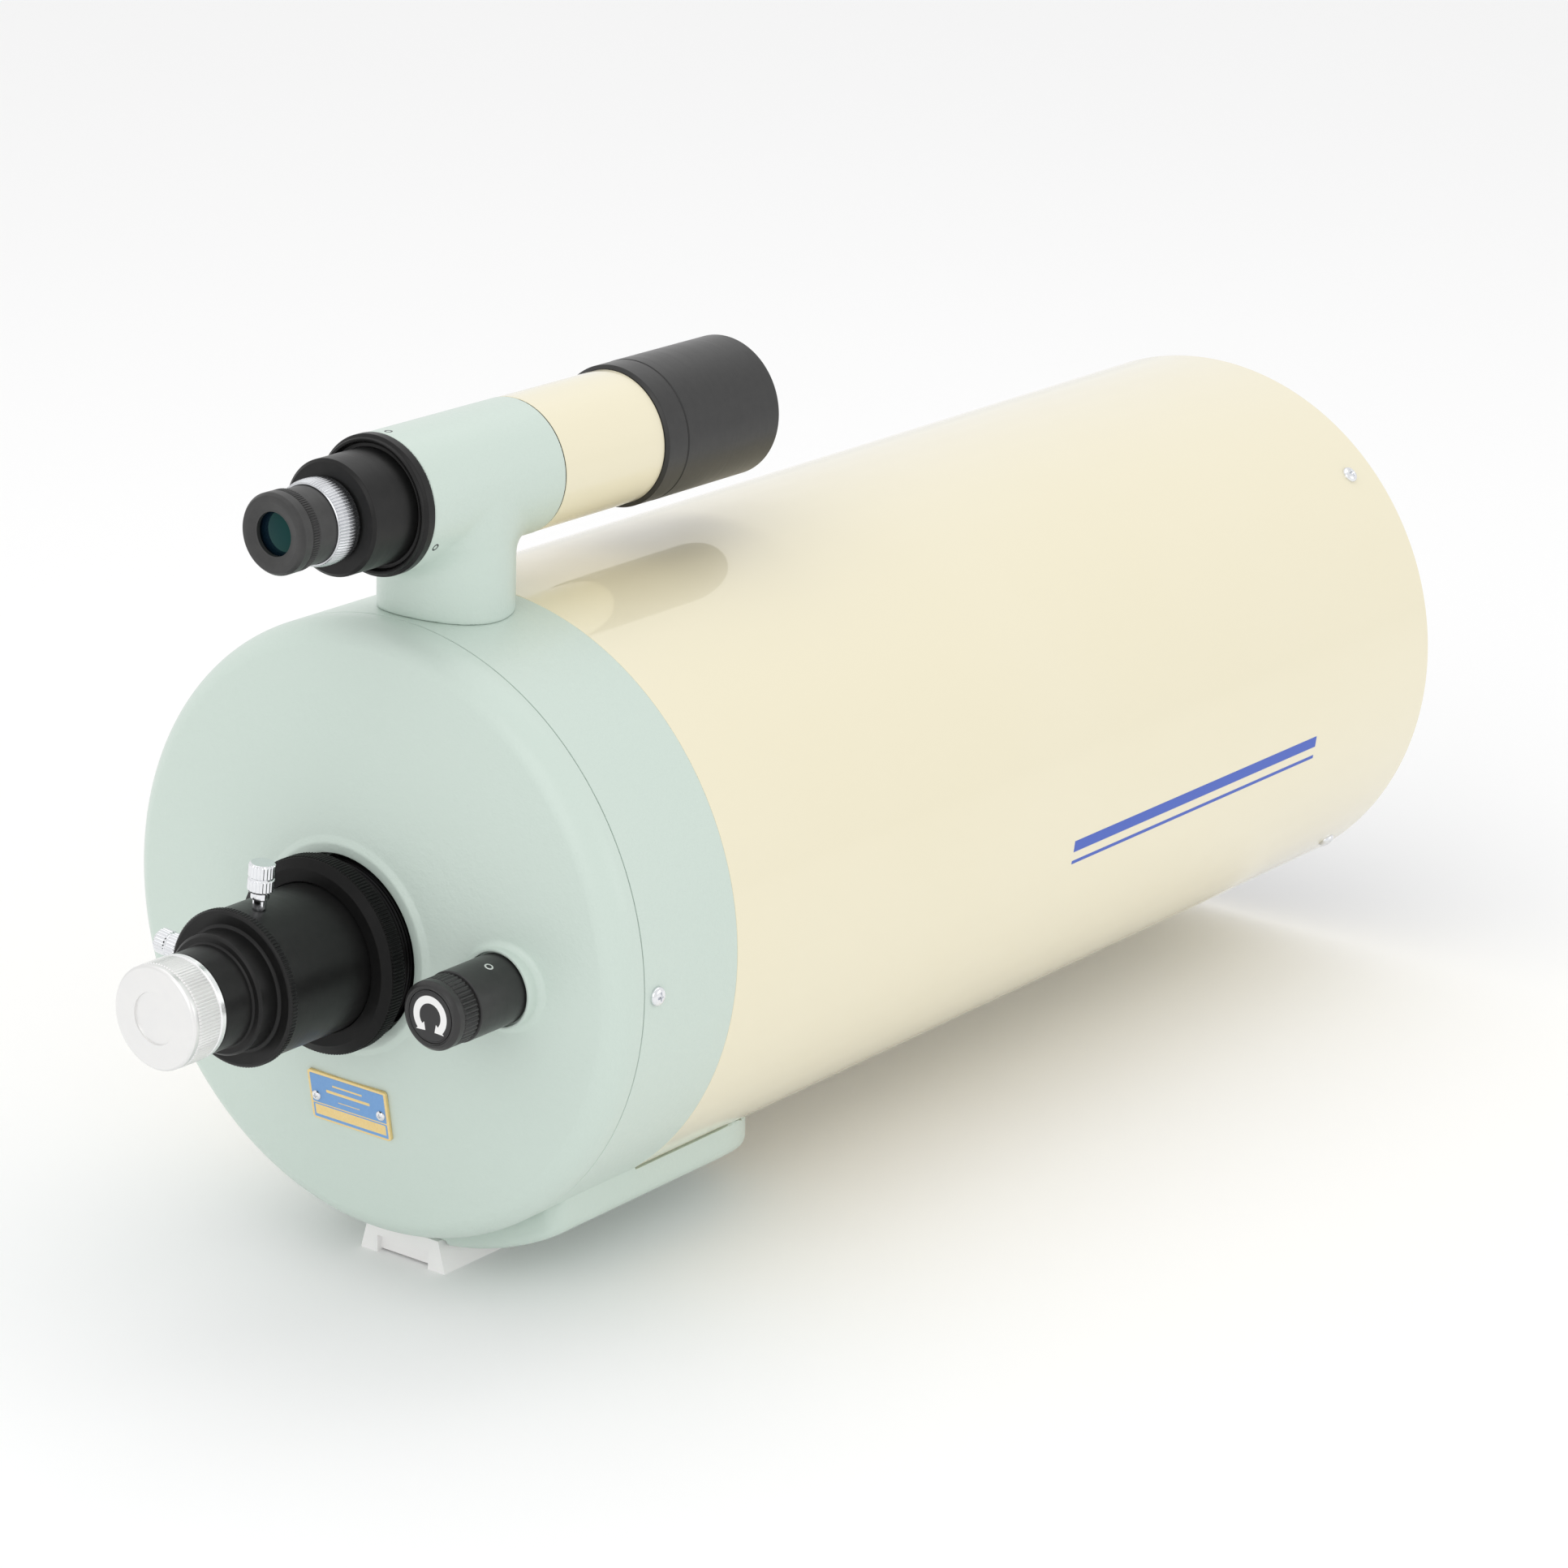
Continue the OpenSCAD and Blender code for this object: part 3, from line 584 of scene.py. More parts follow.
def make_stripe(name, angle, height, rows=9, columns=7):
    """A plain printed stripe along the tube at an angle, from just under its surface to just above it."""
    half = math.degrees(height / 2 / TUBE_R)
    angles = np.radians(np.linspace(angle - half, angle + half, columns))
    sheet = rows * columns
    points, faces = [], []
    for radius in (TUBE_R - 0.05, TUBE_R + 0.03):
        for x in np.linspace(STRIPE_START, STRIPE_START + STRIPE_LEN, rows):
            points += [at_station(x, radius * math.cos(a), radius * math.sin(a)) for a in angles]
    for first in (0, sheet):
        for i in range(rows - 1):
            for corner in range(first + i * columns, first + (i + 1) * columns - 1):
                faces.append([corner, corner + 1, corner + columns + 1, corner + columns])
    rim = [i * columns for i in range(rows)] + [(rows - 1) * columns + j for j in range(1, columns)]
    rim += [i * columns + columns - 1 for i in range(rows - 2, -1, -1)] + list(range(columns - 2, 0, -1))
    faces += [[a, b, b + sheet, a + sheet] for a, b in zip(rim, rim[1:] + rim[:1])]
    rides_with(finished(name, np.array(points), np.array(faces), [BLUE_INK]), "main_tube")


def make_stripes():
    for number, (angle, height) in enumerate(STRIPES, 1):
        make_stripe(f"tube_stripe_{number}", angle, height)


# ------------ rear cell and cover

SADDLE_R = 140.8
SADDLE_RISE = SADDLE_R - (TUBE_REAR.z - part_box("rear_cell")[0].z) / MM
SADDLE_START = 8.0
SADDLE_END = (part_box("rear_cell")[1].x - STATION_0.x) / MM
SADDLE_HALF = 75.4
SADDLE_TOP = -80.0
SADDLE_CORNER = 55.0
SADDLE_REAR_CORNER = 8.0
BAR_HALF = (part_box("dovetail_bar")[1].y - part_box("dovetail_bar")[0].y) / 2 / MM - 1.65
BAR_TOP = (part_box("dovetail_bar")[1].z - TUBE_REAR.z) / MM


def saddle_field(x, y, z):
    radius = np.hypot(y, z)
    middle = (SADDLE_START + SADDLE_END) / 2
    reach = (SADDLE_END - SADDLE_START) / 2
    corner = np.where(x > middle, SADDLE_CORNER, SADDLE_REAR_CORNER)
    dx, dy = np.abs(x - middle) - reach + corner, np.abs(y) - SADDLE_HALF + corner
    plan = np.hypot(np.maximum(dx, 0), np.maximum(dy, 0)) + np.minimum(np.maximum(dx, dy), 0) - corner
    body = common(np.hypot(y, z - SADDLE_RISE) - SADDLE_R, plan, 4.0)
    body = common(body, z - SADDLE_TOP, 0.1)
    inside = np.where(x < CELL_LEN - 0.2, TUBE_R - 1.0, TUBE_R + 0.03)
    body = common(body, inside - radius, 0.2)
    slot = common(np.abs(y) - BAR_HALF, z - BAR_TOP, 0.1)
    return common(body, -slot, 0.3)


def make_cell():
    cell_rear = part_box("rear_cell")[0].x
    start = Vector((cell_rear, TUBE_REAR.y, TUBE_REAR.z))
    hub = (STATION_0.x - cell_rear) / MM
    end = hub + CELL_LEN
    wall = TUBE_R - 6
    outline = [(24, 0), (36, 0, 0.5), (36, hub + 14, 2), (wall, hub + 14, 1), (wall, hub, 0.3),
               (TUBE_R, hub, 0.4), (TUBE_R, end, 0.4), (TUBE_R - 1.7, end), (TUBE_R - 1.7, end + 14.4),
               (wall, end + 14.4), (wall, hub + 22, 2), (22.05, hub + 22), (22.05, hub + 6), (24, hub + 6)]
    stands_for(turned("cell_shell", start, outline, [GREEN], segments=384), "rear_cell")
    low = (SADDLE_START - ROOM, -SADDLE_HALF - ROOM, SADDLE_RISE - SADDLE_R - ROOM)
    high = (SADDLE_END + ROOM, SADDLE_HALF + ROOM, SADDLE_TOP + ROOM)
    rides_with(cast("cell_saddle", saddle_field, low, high, 1.1, [GREEN]), "rear_cell")


COVER_LEN = place("rear_cover")[2]
COVER_REAR = Vector((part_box("rear_cover")[0].x, TUBE_REAR.y, TUBE_REAR.z))
HUB_R = 42.5
HUB_STEP = 1.5
EDGE_R = 12.7
FACE_R = TUBE_R - EDGE_R
FACE_X = 13.7
CONE_RISE = (FACE_X - HUB_STEP) / (FACE_R - HUB_R)
BOSS_R = 15.6
BOSS_X = 3.6
BOSS_FOOT = 2.6
KNOB_OFFSET = (TUBE_REAR.y - KNOB_REAR.y) / MM


def cone_x(radius):
    """The cover's conical face, from its rear end."""
    return HUB_STEP + (radius - HUB_R) * CONE_RISE


def make_cover():
    skirt = TUBE_R - 6.4
    outline = [(36.4, COVER_LEN - 12), (36.4, 0, 0.4), (HUB_R - 2.2, 0, 2.2),
               (HUB_R + 0.4, HUB_STEP + 0.1, 2.4)]
    outline += [(r, cone_x(r), 0) for r in np.arange(HUB_R + 3, FACE_R - 2, 3)]
    for degrees in np.linspace(16, 90, 14):
        turn = math.radians(degrees)
        outline.append((FACE_R + EDGE_R * math.sin(turn), FACE_X + EDGE_R * (1 - math.cos(turn)), 0))
    joint = FACE_X + EDGE_R + 3.4
    outline += [(TUBE_R, joint, 0.4), (skirt, joint), (skirt, COVER_LEN, 0.3), (skirt - 3.6, COVER_LEN, 0.3),
                (skirt - 3.6, 24), (FACE_R, FACE_X + 4), (HUB_R, HUB_STEP + 4)]
    cover = turned("cover_shell", COVER_REAR, outline, [GREEN], segments=384)
    for vertex in cover.data.vertices:
        away = math.hypot(vertex.co.y - KNOB_REAR.y, vertex.co.z - TUBE_REAR.z) / MM
        if away < BOSS_R - 1.2:
            vertex.co.x = max(vertex.co.x, COVER_REAR.x + 7.5 * MM)
    stands_for(cover, "rear_cover")


def beside_knob(radius, angle):
    """The cover's conical face at a radius and an angle round the knob's axis."""
    return cone_x(math.hypot(radius * math.cos(angle) - KNOB_OFFSET, radius * math.sin(angle)))


def make_boss():
    """The round boss under the focus knob: its top is flat, and its foot flows into the cone."""
    count = 144
    angles = np.arange(count) * 2 * math.pi / count
    rim = BOSS_X + 0.4
    rings = [(3.2, 5.8), (3.2, 5.5), (14.0, 5.5), (14.3, 5.3), (14.3, BOSS_X + 0.35), (14.5, BOSS_X + 0.1),
             (14.8, BOSS_X), (BOSS_R - 0.5, BOSS_X), (BOSS_R - 0.15, BOSS_X + 0.12), (BOSS_R, rim)]
    points = []
    for radius, x in rings:
        points += [(x, radius * math.cos(a), radius * math.sin(a)) for a in angles]
    for degrees in np.linspace(10, 90, 8):
        turn = math.radians(degrees)
        radius = BOSS_R + BOSS_FOOT * (1 - math.cos(turn))
        rise = BOSS_FOOT * (1 - math.sin(turn))
        sunk = 0.05 if degrees == 90 else 0
        for a in angles:
            surface = beside_knob(radius, a)
            x = min(max(surface - rise, rim + 0.002 * degrees), surface + sunk)
            points.append((x, radius * math.cos(a), radius * math.sin(a)))
    for a in angles:
        points.append((beside_knob(BOSS_R + BOSS_FOOT, a) + 1.0, BOSS_R * math.cos(a), BOSS_R * math.sin(a)))
    centre = COVER_REAR - Vector((0, KNOB_OFFSET * MM, 0))
    vertices = np.array(centre) + np.array(points) * MM
    faces = ring_faces(len(points) // count, count)
    rides_with(finished("focus_boss", vertices, faces, [GREEN]), "rear_cover")


# ------------ fasteners


def cross_head(radius, height):
    """Vertices and faces of a domed screw head with a tapered cross recess; it stands on z = 0."""

    def field(x, y, z):
        r = np.hypot(x, y)
        dome = ((r / radius) ** 2.6 + (np.abs(z) / height) ** 2.6) ** (1 / 2.6) - 1
        head = common(dome * height, -z, 0.05)
        floor = height * 0.35
        taper = 0.55 + 0.45 * np.clip((z - floor) / (height - floor), 0, 1)
        arm, half = radius * 0.56 * taper, radius * 0.135 * taper
        along_x = np.maximum(np.abs(x) - arm, np.abs(y) - half)
        along_y = np.maximum(np.abs(y) - arm, np.abs(x) - half)
        cross = common(np.minimum(along_x, along_y), floor - z, 0.1)
        return common(head, -cross, 0.12)

    step = radius / 26
    reach = radius + 3 * step
    return field_surface(field, (-reach, -reach, -2 * step), (reach, reach, height + 3 * step), step)


FRONT_SCREWS = (45, 135, 225, 315)
CELL_SCREWS = (0, 180)
PLATE_Z = -65.2
PLATE_TILT = math.atan(CONE_RISE)
PLATE_SCREW = 16.2


def plate_frame():
    """The nameplate's own axes: x to the right seen from behind, y up, z away from the cover."""
    away = Vector((-math.cos(PLATE_TILT), 0, -math.sin(PLATE_TILT)))
    right = Vector((0, -1, 0))
    up = away.cross(right)
    centre = COVER_REAR + Vector((cone_x(-PLATE_Z), 0, PLATE_Z)) * MM
    turn = Matrix((right, up, away)).transposed()
    return centre, turn


def make_cross_head_screws():
    vertices, faces = cross_head(3.8, 2.3)
    for node, angles in (("front_screws", FRONT_SCREWS), ("cell_screws", CELL_SCREWS)):
        x = (middle_x(node) - STATION_0.x) / MM
        places = [(at_station(x) + outward(a) * (TUBE_R - 0.06) * MM, outward(a)) for a in angles]
        stands_for(copies(f"{node}_heads", vertices, faces, places, [CHROME]), node)
    centre, turn = plate_frame()
    vertices, faces = cross_head(2.1, 1.25)
    places = [(centre + turn @ Vector((side * PLATE_SCREW, 0, 0.9)) * MM, turn @ Vector((0, 0, 1)))
              for side in (-1, 1)]
    stands_for(copies("nameplate_screw_heads", vertices, faces, places, [CHROME]), "nameplate_screws")


def socket_cup(name, start, axis, radius, materials, rim_slot=0):
    """A small set screw that ends flush in its hole; the inside of its socket takes the second material,
    flat black painted as shade in the recess.
    """
    outline = [1, (0, -1.4), (radius * 0.52, -1.4, 0), (radius * 0.52, -0.1, 0.05), rim_slot,
               (radius * 0.62, 0.04, 0.05), (radius, 0.04, 0.1), (radius, -0.6), 1, (0, -1.9)]
    return turned(name, start, outline, materials, axis=axis, segments=36, edge=0.05, closed=False)


def make_knob_set_screw():
    axis = outward(110)
    centre = Vector((middle_x("knob_set_screw"), KNOB_REAR.y, KNOB_REAR.z)) + axis * KNOB_R * MM
    # The flat black inside the socket is painted shade.
    stands_for(socket_cup("knob_set_screw_cup", centre, axis, 1.75, [SATIN, FLAT]), "knob_set_screw")


# ------------ nameplate


def plate_layer(name, width, height, corner, bottom, top, centre, material):
    """A flat rounded rectangle on the nameplate, with a small bevel on its upper edge."""
    frame_centre, turn = plate_frame()
    outline = []
    for x, y, first in ((1, 1, 0), (-1, 1, 90), (-1, -1, 180), (1, -1, 270)):
        for degrees in np.linspace(first, first + 90, 7):
            a = math.radians(degrees)
            outline.append((x * (width / 2 - corner) + corner * math.cos(a),
                            y * (height / 2 - corner) + corner * math.sin(a)))
    outline = np.array(outline)
    bevel = min(0.12, (top - bottom) / 3)
    shrink = 1 - bevel / np.array([width / 2, height / 2])
    count, points = len(outline), []
    for ring, z in ((outline, bottom), (outline, top - bevel), (outline * shrink, top)):
        points += [frame_centre + turn @ Vector((x, y, z)) * MM for x, y in ring + np.array(centre)]
    sides = ring_faces(3, count, closed=False)[:, ::-1].tolist()
    back, face = list(range(count))[::-1], list(range(2 * count, 3 * count))
    mesh = bpy.data.meshes.new(name)
    mesh.from_pydata(points, [], [*sides, back, face])
    mesh.materials.append(material)
    return linked(name, mesh)


def make_nameplate():
    stands_for(plate_layer("nameplate_base", 39.5, 21.3, 1.5, -0.35, 0.9, (0, 0), GOLD), "nameplate")
    layers = [("nameplate_field", 37.3, 12.7, 0.5, (0, 3.2), ENAMEL, 0.94),
              ("nameplate_foot", 37.3, 6.2, 0.5, (0, -6.7), ENAMEL, 0.94),
              ("nameplate_band", 35.6, 4.4, 0.3, (0, -6.3), GOLD, 0.98),
              ("nameplate_rule_long", 22.0, 1.3, 0.3, (0, 3.1), GOLD, 0.98),
              ("nameplate_rule_short", 15.0, 0.8, 0.2, (0, 6.1), GOLD, 0.98),
              ("nameplate_rule_fine", 11.0, 0.4, 0.1, (0, -0.6), GOLD, 0.98)]
    for name, width, height, corner, centre, material, top in layers:
        rides_with(plate_layer(name, width, height, corner, 0.8, top, centre, material), "nameplate")


# ------------ focus knob and disc


def make_knob():
    grip = KNOB_R - 0.4
    shoulder = 12.8
    outline = [(0, 0.9), (10.3, 0.9, 0.1), (10.3, 0.35, 0.1), (10.7, 0.35, 0.1), (10.9, 0, 0.2),
               (grip - 1.4, 0, 0.5), (grip, 1.5, 0.9), (grip, 4.2, 0.3), (grip - 0.3, 4.5, 0.1),
               (grip - 0.3, 4.7, 0, 1), (grip, 5.1, 0.1, 1), (grip, shoulder - 0.9, 0.1, 1),
               (grip - 0.2, shoulder - 0.5, 0.1, 1), (grip - 0.9, shoulder - 0.2, 0.1),
               (grip - 0.9, shoulder + 0.1, 0.1), (KNOB_R - 0.3, shoulder + 0.3, 0.1),
               (KNOB_R, shoulder + 0.7, 0.2), (KNOB_R, KNOB_LEN, 0.4), (4, KNOB_LEN), (4, 20), (0, 20)]
    turned_for("focus_knob", "focus_knob_fluted", outline, [BLACK_SHEEN], teeth=44, depth=0.65,
               pattern=FLUTE, closed=False)


def flat_print(name, polygons, start, height, material):
    """Thin printed polygons on a face that looks back along the tube; x is to the right and y is up."""
    shape = bmesh.new()
    for polygon in polygons:
        shape.faces.new([shape.verts.new(start + Vector((-height, -x, y)) * MM) for x, y in polygon])
    bmesh.ops.remove_doubles(shape, verts=shape.verts, dist=1e-7)
    sides = bmesh.ops.extrude_face_region(shape, geom=list(shape.faces))
    moved = [v for v in sides["geom"] if isinstance(v, bmesh.types.BMVert)]
    bmesh.ops.translate(shape, verts=moved, vec=(height * MM * 1.2, 0, 0))
    bmesh.ops.recalc_face_normals(shape, faces=shape.faces)
    mesh = bpy.data.meshes.new(name)
    shape.to_mesh(mesh)
    shape.free()
    mesh.materials.append(material)
    return linked(name, mesh)


def polar(radius, degrees):
    """The two coordinates of a point at a radius and an angle."""
    return radius * math.cos(math.radians(degrees)), radius * math.sin(math.radians(degrees))


def make_direction_disc():
    start, radius, length = place("knob_direction_disc")
    outline = [(0, 0), (radius - 0.7, 0, 0.1), (radius - 0.55, 0.12, 0.05), (radius - 0.4, 0, 0.1),
               (radius, 0, 0.15), (radius, length), (0, length)]
    disc = turned("knob_disc", start, outline, [BLACK_INK], segments=96, edge=0.08, closed=False)
    stands_for(disc, "knob_direction_disc")
    inner, outer, low, high, head = 5.0, 7.9, -42, 222, 27
    angles = np.linspace(low, high, 45)
    arrow = [[polar(inner, a), polar(outer, a), polar(outer, b), polar(inner, b)]
             for a, b in zip(angles, angles[1:])]
    tip = (inner + outer) / 2 - 0.3
    for end, point in ((low, low - head), (high, high + head)):
        arrow.append([polar(inner - 1.2, end), polar(outer + 1.0, end), polar(tip, point)])
    rides_with(flat_print("knob_disc_arrow", arrow, start, 0.04, WHITE_INK), "knob_direction_disc")


# ------------ eyepiece end


def make_neck():
    _, radius, length = place("rear_neck")
    outline = [(30, 0, 0.2), (radius - 0.4, 0, 0.2)]
    for i in range(9):
        outline += [(radius - 0.45, 0.9 + 1.6 * i, 0.1), (radius, 1.5 + 1.6 * i, 0.1)]
    outline += [(radius, length), (24, length), (24, length - 9), (30, length - 9)]
    turned_for("rear_neck", "neck_threaded", outline, [BLACK_DEEP])


def make_locking_ring():
    _, radius, length = place("locking_ring")
    bore, lip = radius - 4.5, 29.3
    outline = [(lip, 0, 0.2), (radius - 4.2, 0, 0.4), (radius - 0.5, 2.0, 0.3), (radius - 0.5, 2.3, 0.1),
               (radius - 0.3, 2.5, 0, 1), (radius, 2.8, 0.1, 1), (radius, length - 0.8, 0.1, 1),
               (radius - 0.3, length - 0.5, 0, 1), (radius - 0.6, length, 0.2), (bore, length),
               (bore, 2.0), (lip, 2.0)]
    turned_for("locking_ring", "locking_ring_knurled", outline, [BLACK_DEEP], teeth=170, depth=0.5)


def make_sleeve():
    _, radius, length = place("eyepiece_sleeve")
    body, bore = 28.9, 25.45
    outline = [(bore, 0.3, 0.2), (bore + 0.4, 0, 0.1), (body - 0.4, 0, 0.3), (body, 0.5, 0.3), (body, 42.6),
               (radius, 42.6), (radius, 45.3), (29.95, 45.3), (29.95, length), (bore, length)]
    turned_for("eyepiece_sleeve", "sleeve_turned", outline, [BLACK], segments=256)


def make_adapter():
    _, radius, length = place("eyepiece_adapter")
    step = 36.4
    outline = [(15.95, 0, 0.3), (18.3, 0, 0.4), (18.3, 14), (19.2, 14, 0.2), (19.5, 14.3, 0.2),
               (19.5, 27.2, 0.6), (20.2, 27.8, 0.3), (22.1, 27.8, 0.2), (23.1, 28.8, 0.3),
               (23.1, step + 0.4, 0.6),
               (24.4, step + 1.0, 0.5), (28.6, step + 0.1, 0.3), (radius - 0.7, step + 0.3, 0.3),
               (radius - 0.3, step + 0.8, 0.1), (radius, step + 1.1, 0.1, 1), (radius, step + 3.4, 0.1, 1),
               (radius - 0.3, step + 3.7, 0.1), (radius - 0.5, step + 3.9, 0.1), (25.4, step + 3.9),
               (25.4, length), (22, length), (22, step + 0.6), (15.95, 32)]
    turned_for("eyepiece_adapter", "adapter_turned", outline, [BLACK], teeth=132, depth=0.42)


def make_dust_cap():
    _, radius, length = place("dust_cap")
    inner = 18.35
    outline = [(0, 0.75), (9.9, 0.75, 0.1), (10, 0, 0.1), (radius - 0.9, 0, 0.6), (radius - 0.1, 0.8, 0.3),
               (radius - 0.1, 2.6, 0.1), (radius - 0.5, 2.8, 0.1), (radius - 0.5, 3.0, 0.05),
               (radius - 0.35, 3.2, 0, 1), (radius, 3.6, 0.1, 1), (radius, 13.4, 0.1, 1),
               (radius - 0.35, 13.8, 0, 1), (radius - 0.6, 14.0, 0.1), 1, (radius - 0.6, 14.4, 0.1),
               (radius - 0.2, 14.6, 0.2), (radius - 0.2, length - 0.4, 0.2), (radius - 0.6, length, 0.2),
               (inner, length, 0.2), 0, (inner, 3.1), (0, 3.1)]
    turned_for("dust_cap", "dust_cap_knurled", outline, [SATIN, BRIGHT], teeth=92, depth=0.5,
               pattern=FLUTE_TOOTH, closed=False)


def make_thumbscrew(side):
    joint = JOINTS[f"{side}_thumbscrew_turn"]
    axis = Vector(joint["axis"]).normalized()
    centre = Vector((joint["pos_m"][0], TUBE_REAR.y, TUBE_REAR.z))
    foot, neck, head = 25.75, 29.3, 35.9
    outline = [(0, foot), (1.6, foot, 0.2), (2, foot + 0.4, 0.1), (2, neck, 0.1), (2.6, neck, 0.2),
               (2.6, 32.6, 0.3), (3.5, 33.2, 0.3), (3.5, head - 0.1, 0.2), (2, head - 0.1, 0.1),
               (2, 45.7), (0, 45.7)]
    shank = turned(f"{side}_thumbscrew_neck", centre, outline, [CHROME], axis=axis, segments=72, edge=0.1,
                   closed=False)
    stands_for(shank, f"{side}_thumbscrew_shank")
    outline = [(2.05, head), (4.4, head, 0.3), (4.75, head + 0.5, 0.1, 1), (5, head + 0.8, 0.1, 1),
               (5, head + 4.8, 0.1, 1), (4.5, head + 5.2, 0.1), (4.5, head + 5.7, 0.1),
               (5, head + 6.1, 0.1, 1), (5, head + 10.5, 0.1, 1), (4.7, head + 10.9, 0.1, 1),
               (4.3, head + 11.3, 0.3), (0, head + 11.3), (0, head + 10), (2.05, head + 10)]
    cap = turned(f"{side}_thumbscrew_knurl", centre, outline, [CHROME], axis=axis, teeth=20, depth=0.36,
                 pattern=FLUTE_TOOTH, edge=0.1, closed=False)
    stands_for(cap, f"{side}_thumbscrew_head")


# ------------ finder

BRACKET_LOW, BRACKET_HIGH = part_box("finder_bracket")
SLEEVE_R = (BRACKET_HIGH.y - BRACKET_LOW.y) / 2 / MM
FINDER_H = (FINDER_REAR.z - TUBE_REAR.z) / MM
SLEEVE_X = ((BRACKET_LOW.x - STATION_0.x) / MM, (BRACKET_HIGH.x - STATION_0.x) / MM)
PEDESTAL_X = (middle_x("bracket_screws") - STATION_0.x) / MM
PEDESTAL_R = 26.2


def bracket_field(x, y, z):
    from_axis = np.hypot(y, z - FINDER_H)
    middle, half = sum(SLEEVE_X) / 2, (SLEEVE_X[1] - SLEEVE_X[0]) / 2
    sleeve = common(from_axis - SLEEVE_R, np.abs(x - middle) - half, 1.2)
    below = FINDER_H - z
    pedestal = np.where(below > 0, np.hypot(x - PEDESTAL_X, y) - PEDESTAL_R, 99)
    body = blended(sleeve, pedestal, 7.0 * np.clip(below / 18, 0.01, 1))
    body = common(body, 25.1 - from_axis, 0.5)
    return common(body, TUBE_R + 0.06 - np.hypot(y, z), 0.9)


def make_bracket():
    low = (SLEEVE_X[0] - ROOM, -SLEEVE_R - ROOM, TUBE_R - 9)
    high = (SLEEVE_X[1] + ROOM, SLEEVE_R + ROOM, FINDER_H + SLEEVE_R + ROOM)
    stands_for(cast("finder_pedestal", bracket_field, low, high, 0.75, [GREEN]), "finder_bracket")


def make_finder_set_screws():
    middle = Vector((middle_x("finder_set_screws"), FINDER_REAR.y, FINDER_REAR.z))
    cups = []
    for angle in (90, 210, 330):
        centre = middle + outward(angle) * SLEEVE_R * MM
        # The flat black inside each socket is painted shade.
        cups.append(socket_cup(f"finder_set_screw_{angle}", centre, outward(angle), 1.6, [DARK_STEEL, FLAT]))
    stands_for(cups[0], "finder_set_screws")
    for cup in cups[1:]:
        rides_with(cup, "finder_set_screws")


def make_finder_tube():
    _, radius, length = place("finder_tube")
    step = 61.6
    outline = [1, (23.2, 0), (25, 0), (25, step), 0, (radius, step, 0.3), (radius, 121, 0.3), (25.6, 121),
               (25.6, length), 1, (23.2, length)]
    turned_for("finder_tube", "finder_tube_turned", outline, [IVORY, FLAT], segments=256)


def make_objective_cell():
    _, radius, length = place("finder_objective_cell")
    outline = [(25.7, 0, 0.1), (26.8, 0, 0.2), (radius, 0.9, 0.4), (radius, 12.4, 0.2), (26.4, 12.4),
               (26.4, length), (25.15, length), (25.15, 10.8), (23.5, 10.8), (23.5, 9), (25.7, 9)]
    turned_for("finder_objective_cell", "finder_cell_turned", outline, [BLACK_SHEEN], segments=256)


def make_dew_shield():
    _, radius, length = place("finder_dew_shield")
    bore = 26.6
    outline = [1, (bore, 0), 0, (radius - 0.5, 0, 0.1), (radius, 0.4, 0.2), (radius, length - 0.6, 0.5),
               (radius - 0.6, length, 0.4), 1, (bore, length, 0.3)]
    outline += [(bore + 0.25 * (i % 2), length - 4 - 2.6 * i, 0.1) for i in range(18)]
    turned_for("finder_dew_shield", "dew_shield_turned", outline, [BLACK_SHEEN, FLAT], segments=256)


def make_focus_barrel():
    _, radius, length = place("finder_focus_barrel")
    outline = [(14.66, 0), (20.8, 0, 0.4), (22.1, 1.0, 0.3), (22.1, 24.0, 0.4), (23.6, 24.4, 0.5),
               (24.3, 22.4, 0.3), (25.3, 22.1, 0.4), (25.6, 22.5, 0.2), (25.8, 23.6, 0.2),
               (radius, 24.2, 0.4),
               (radius, 27.9, 0.3), (25, 27.9), (25, length), (21, length), (21, 17.4), (14.66, 17.4)]
    turned_for("finder_focus_barrel", "finder_barrel_turned", outline, [BLACK], segments=256)


def make_lock_ring():
    _, radius, length = place("finder_lock_ring")
    outline = [(14.68, 0), (15.1, 0, 0.2), (15.5, 0.3, 0.1), (15.75, 0.6, 0.2, 1), (16.25, 2.6, 0.5, 1),
               (radius, 5.0, 1, 1), (radius, 8.0, 1, 1), (16.0, 10.4, 0.4, 1), (15.7, 11.0, 0.1),
               (15.3, length, 0.1), (14.68, length)]
    turned_for("finder_lock_ring", "finder_lock_ring_knurled", outline, [RING_CHROME], teeth=78,
               depth=0.42, pattern=FLUTE_TOOTH)


def make_finder_eyepiece():
    _, radius, length = place("finder_eyepiece")
    outline = [(8.3, 1.0, 0.1), (9.0, 1.0, 0.3), (12.0, 0.05, 0.6), (12.8, 0, 0.3), (14.3, 0, 0.6),
               (radius, 1.4, 0.8), (radius, 5.2, 0.2), (15.0, 5.4, 0.1), (15.0, 5.7, 0.05),
               (15.1, 5.8, 0, 1), (15.35, 6.1, 0.05, 1), (15.35, 9.1, 0.05, 1), (15.1, 9.4, 0, 1),
               (14.8, 9.6, 0.1), (14.6, 10.0, 0.2), (14.6, length), (12.4, length), (12.4, 2.8), (8.3, 2.8)]
    turned_for("finder_eyepiece", "finder_eyepiece_turned", outline, [BLACK_FACE], teeth=96, depth=0.4)


EYE_CURVE, FRONT_CURVE, SHARED_CURVE = 60.0, 150.0, 180.0


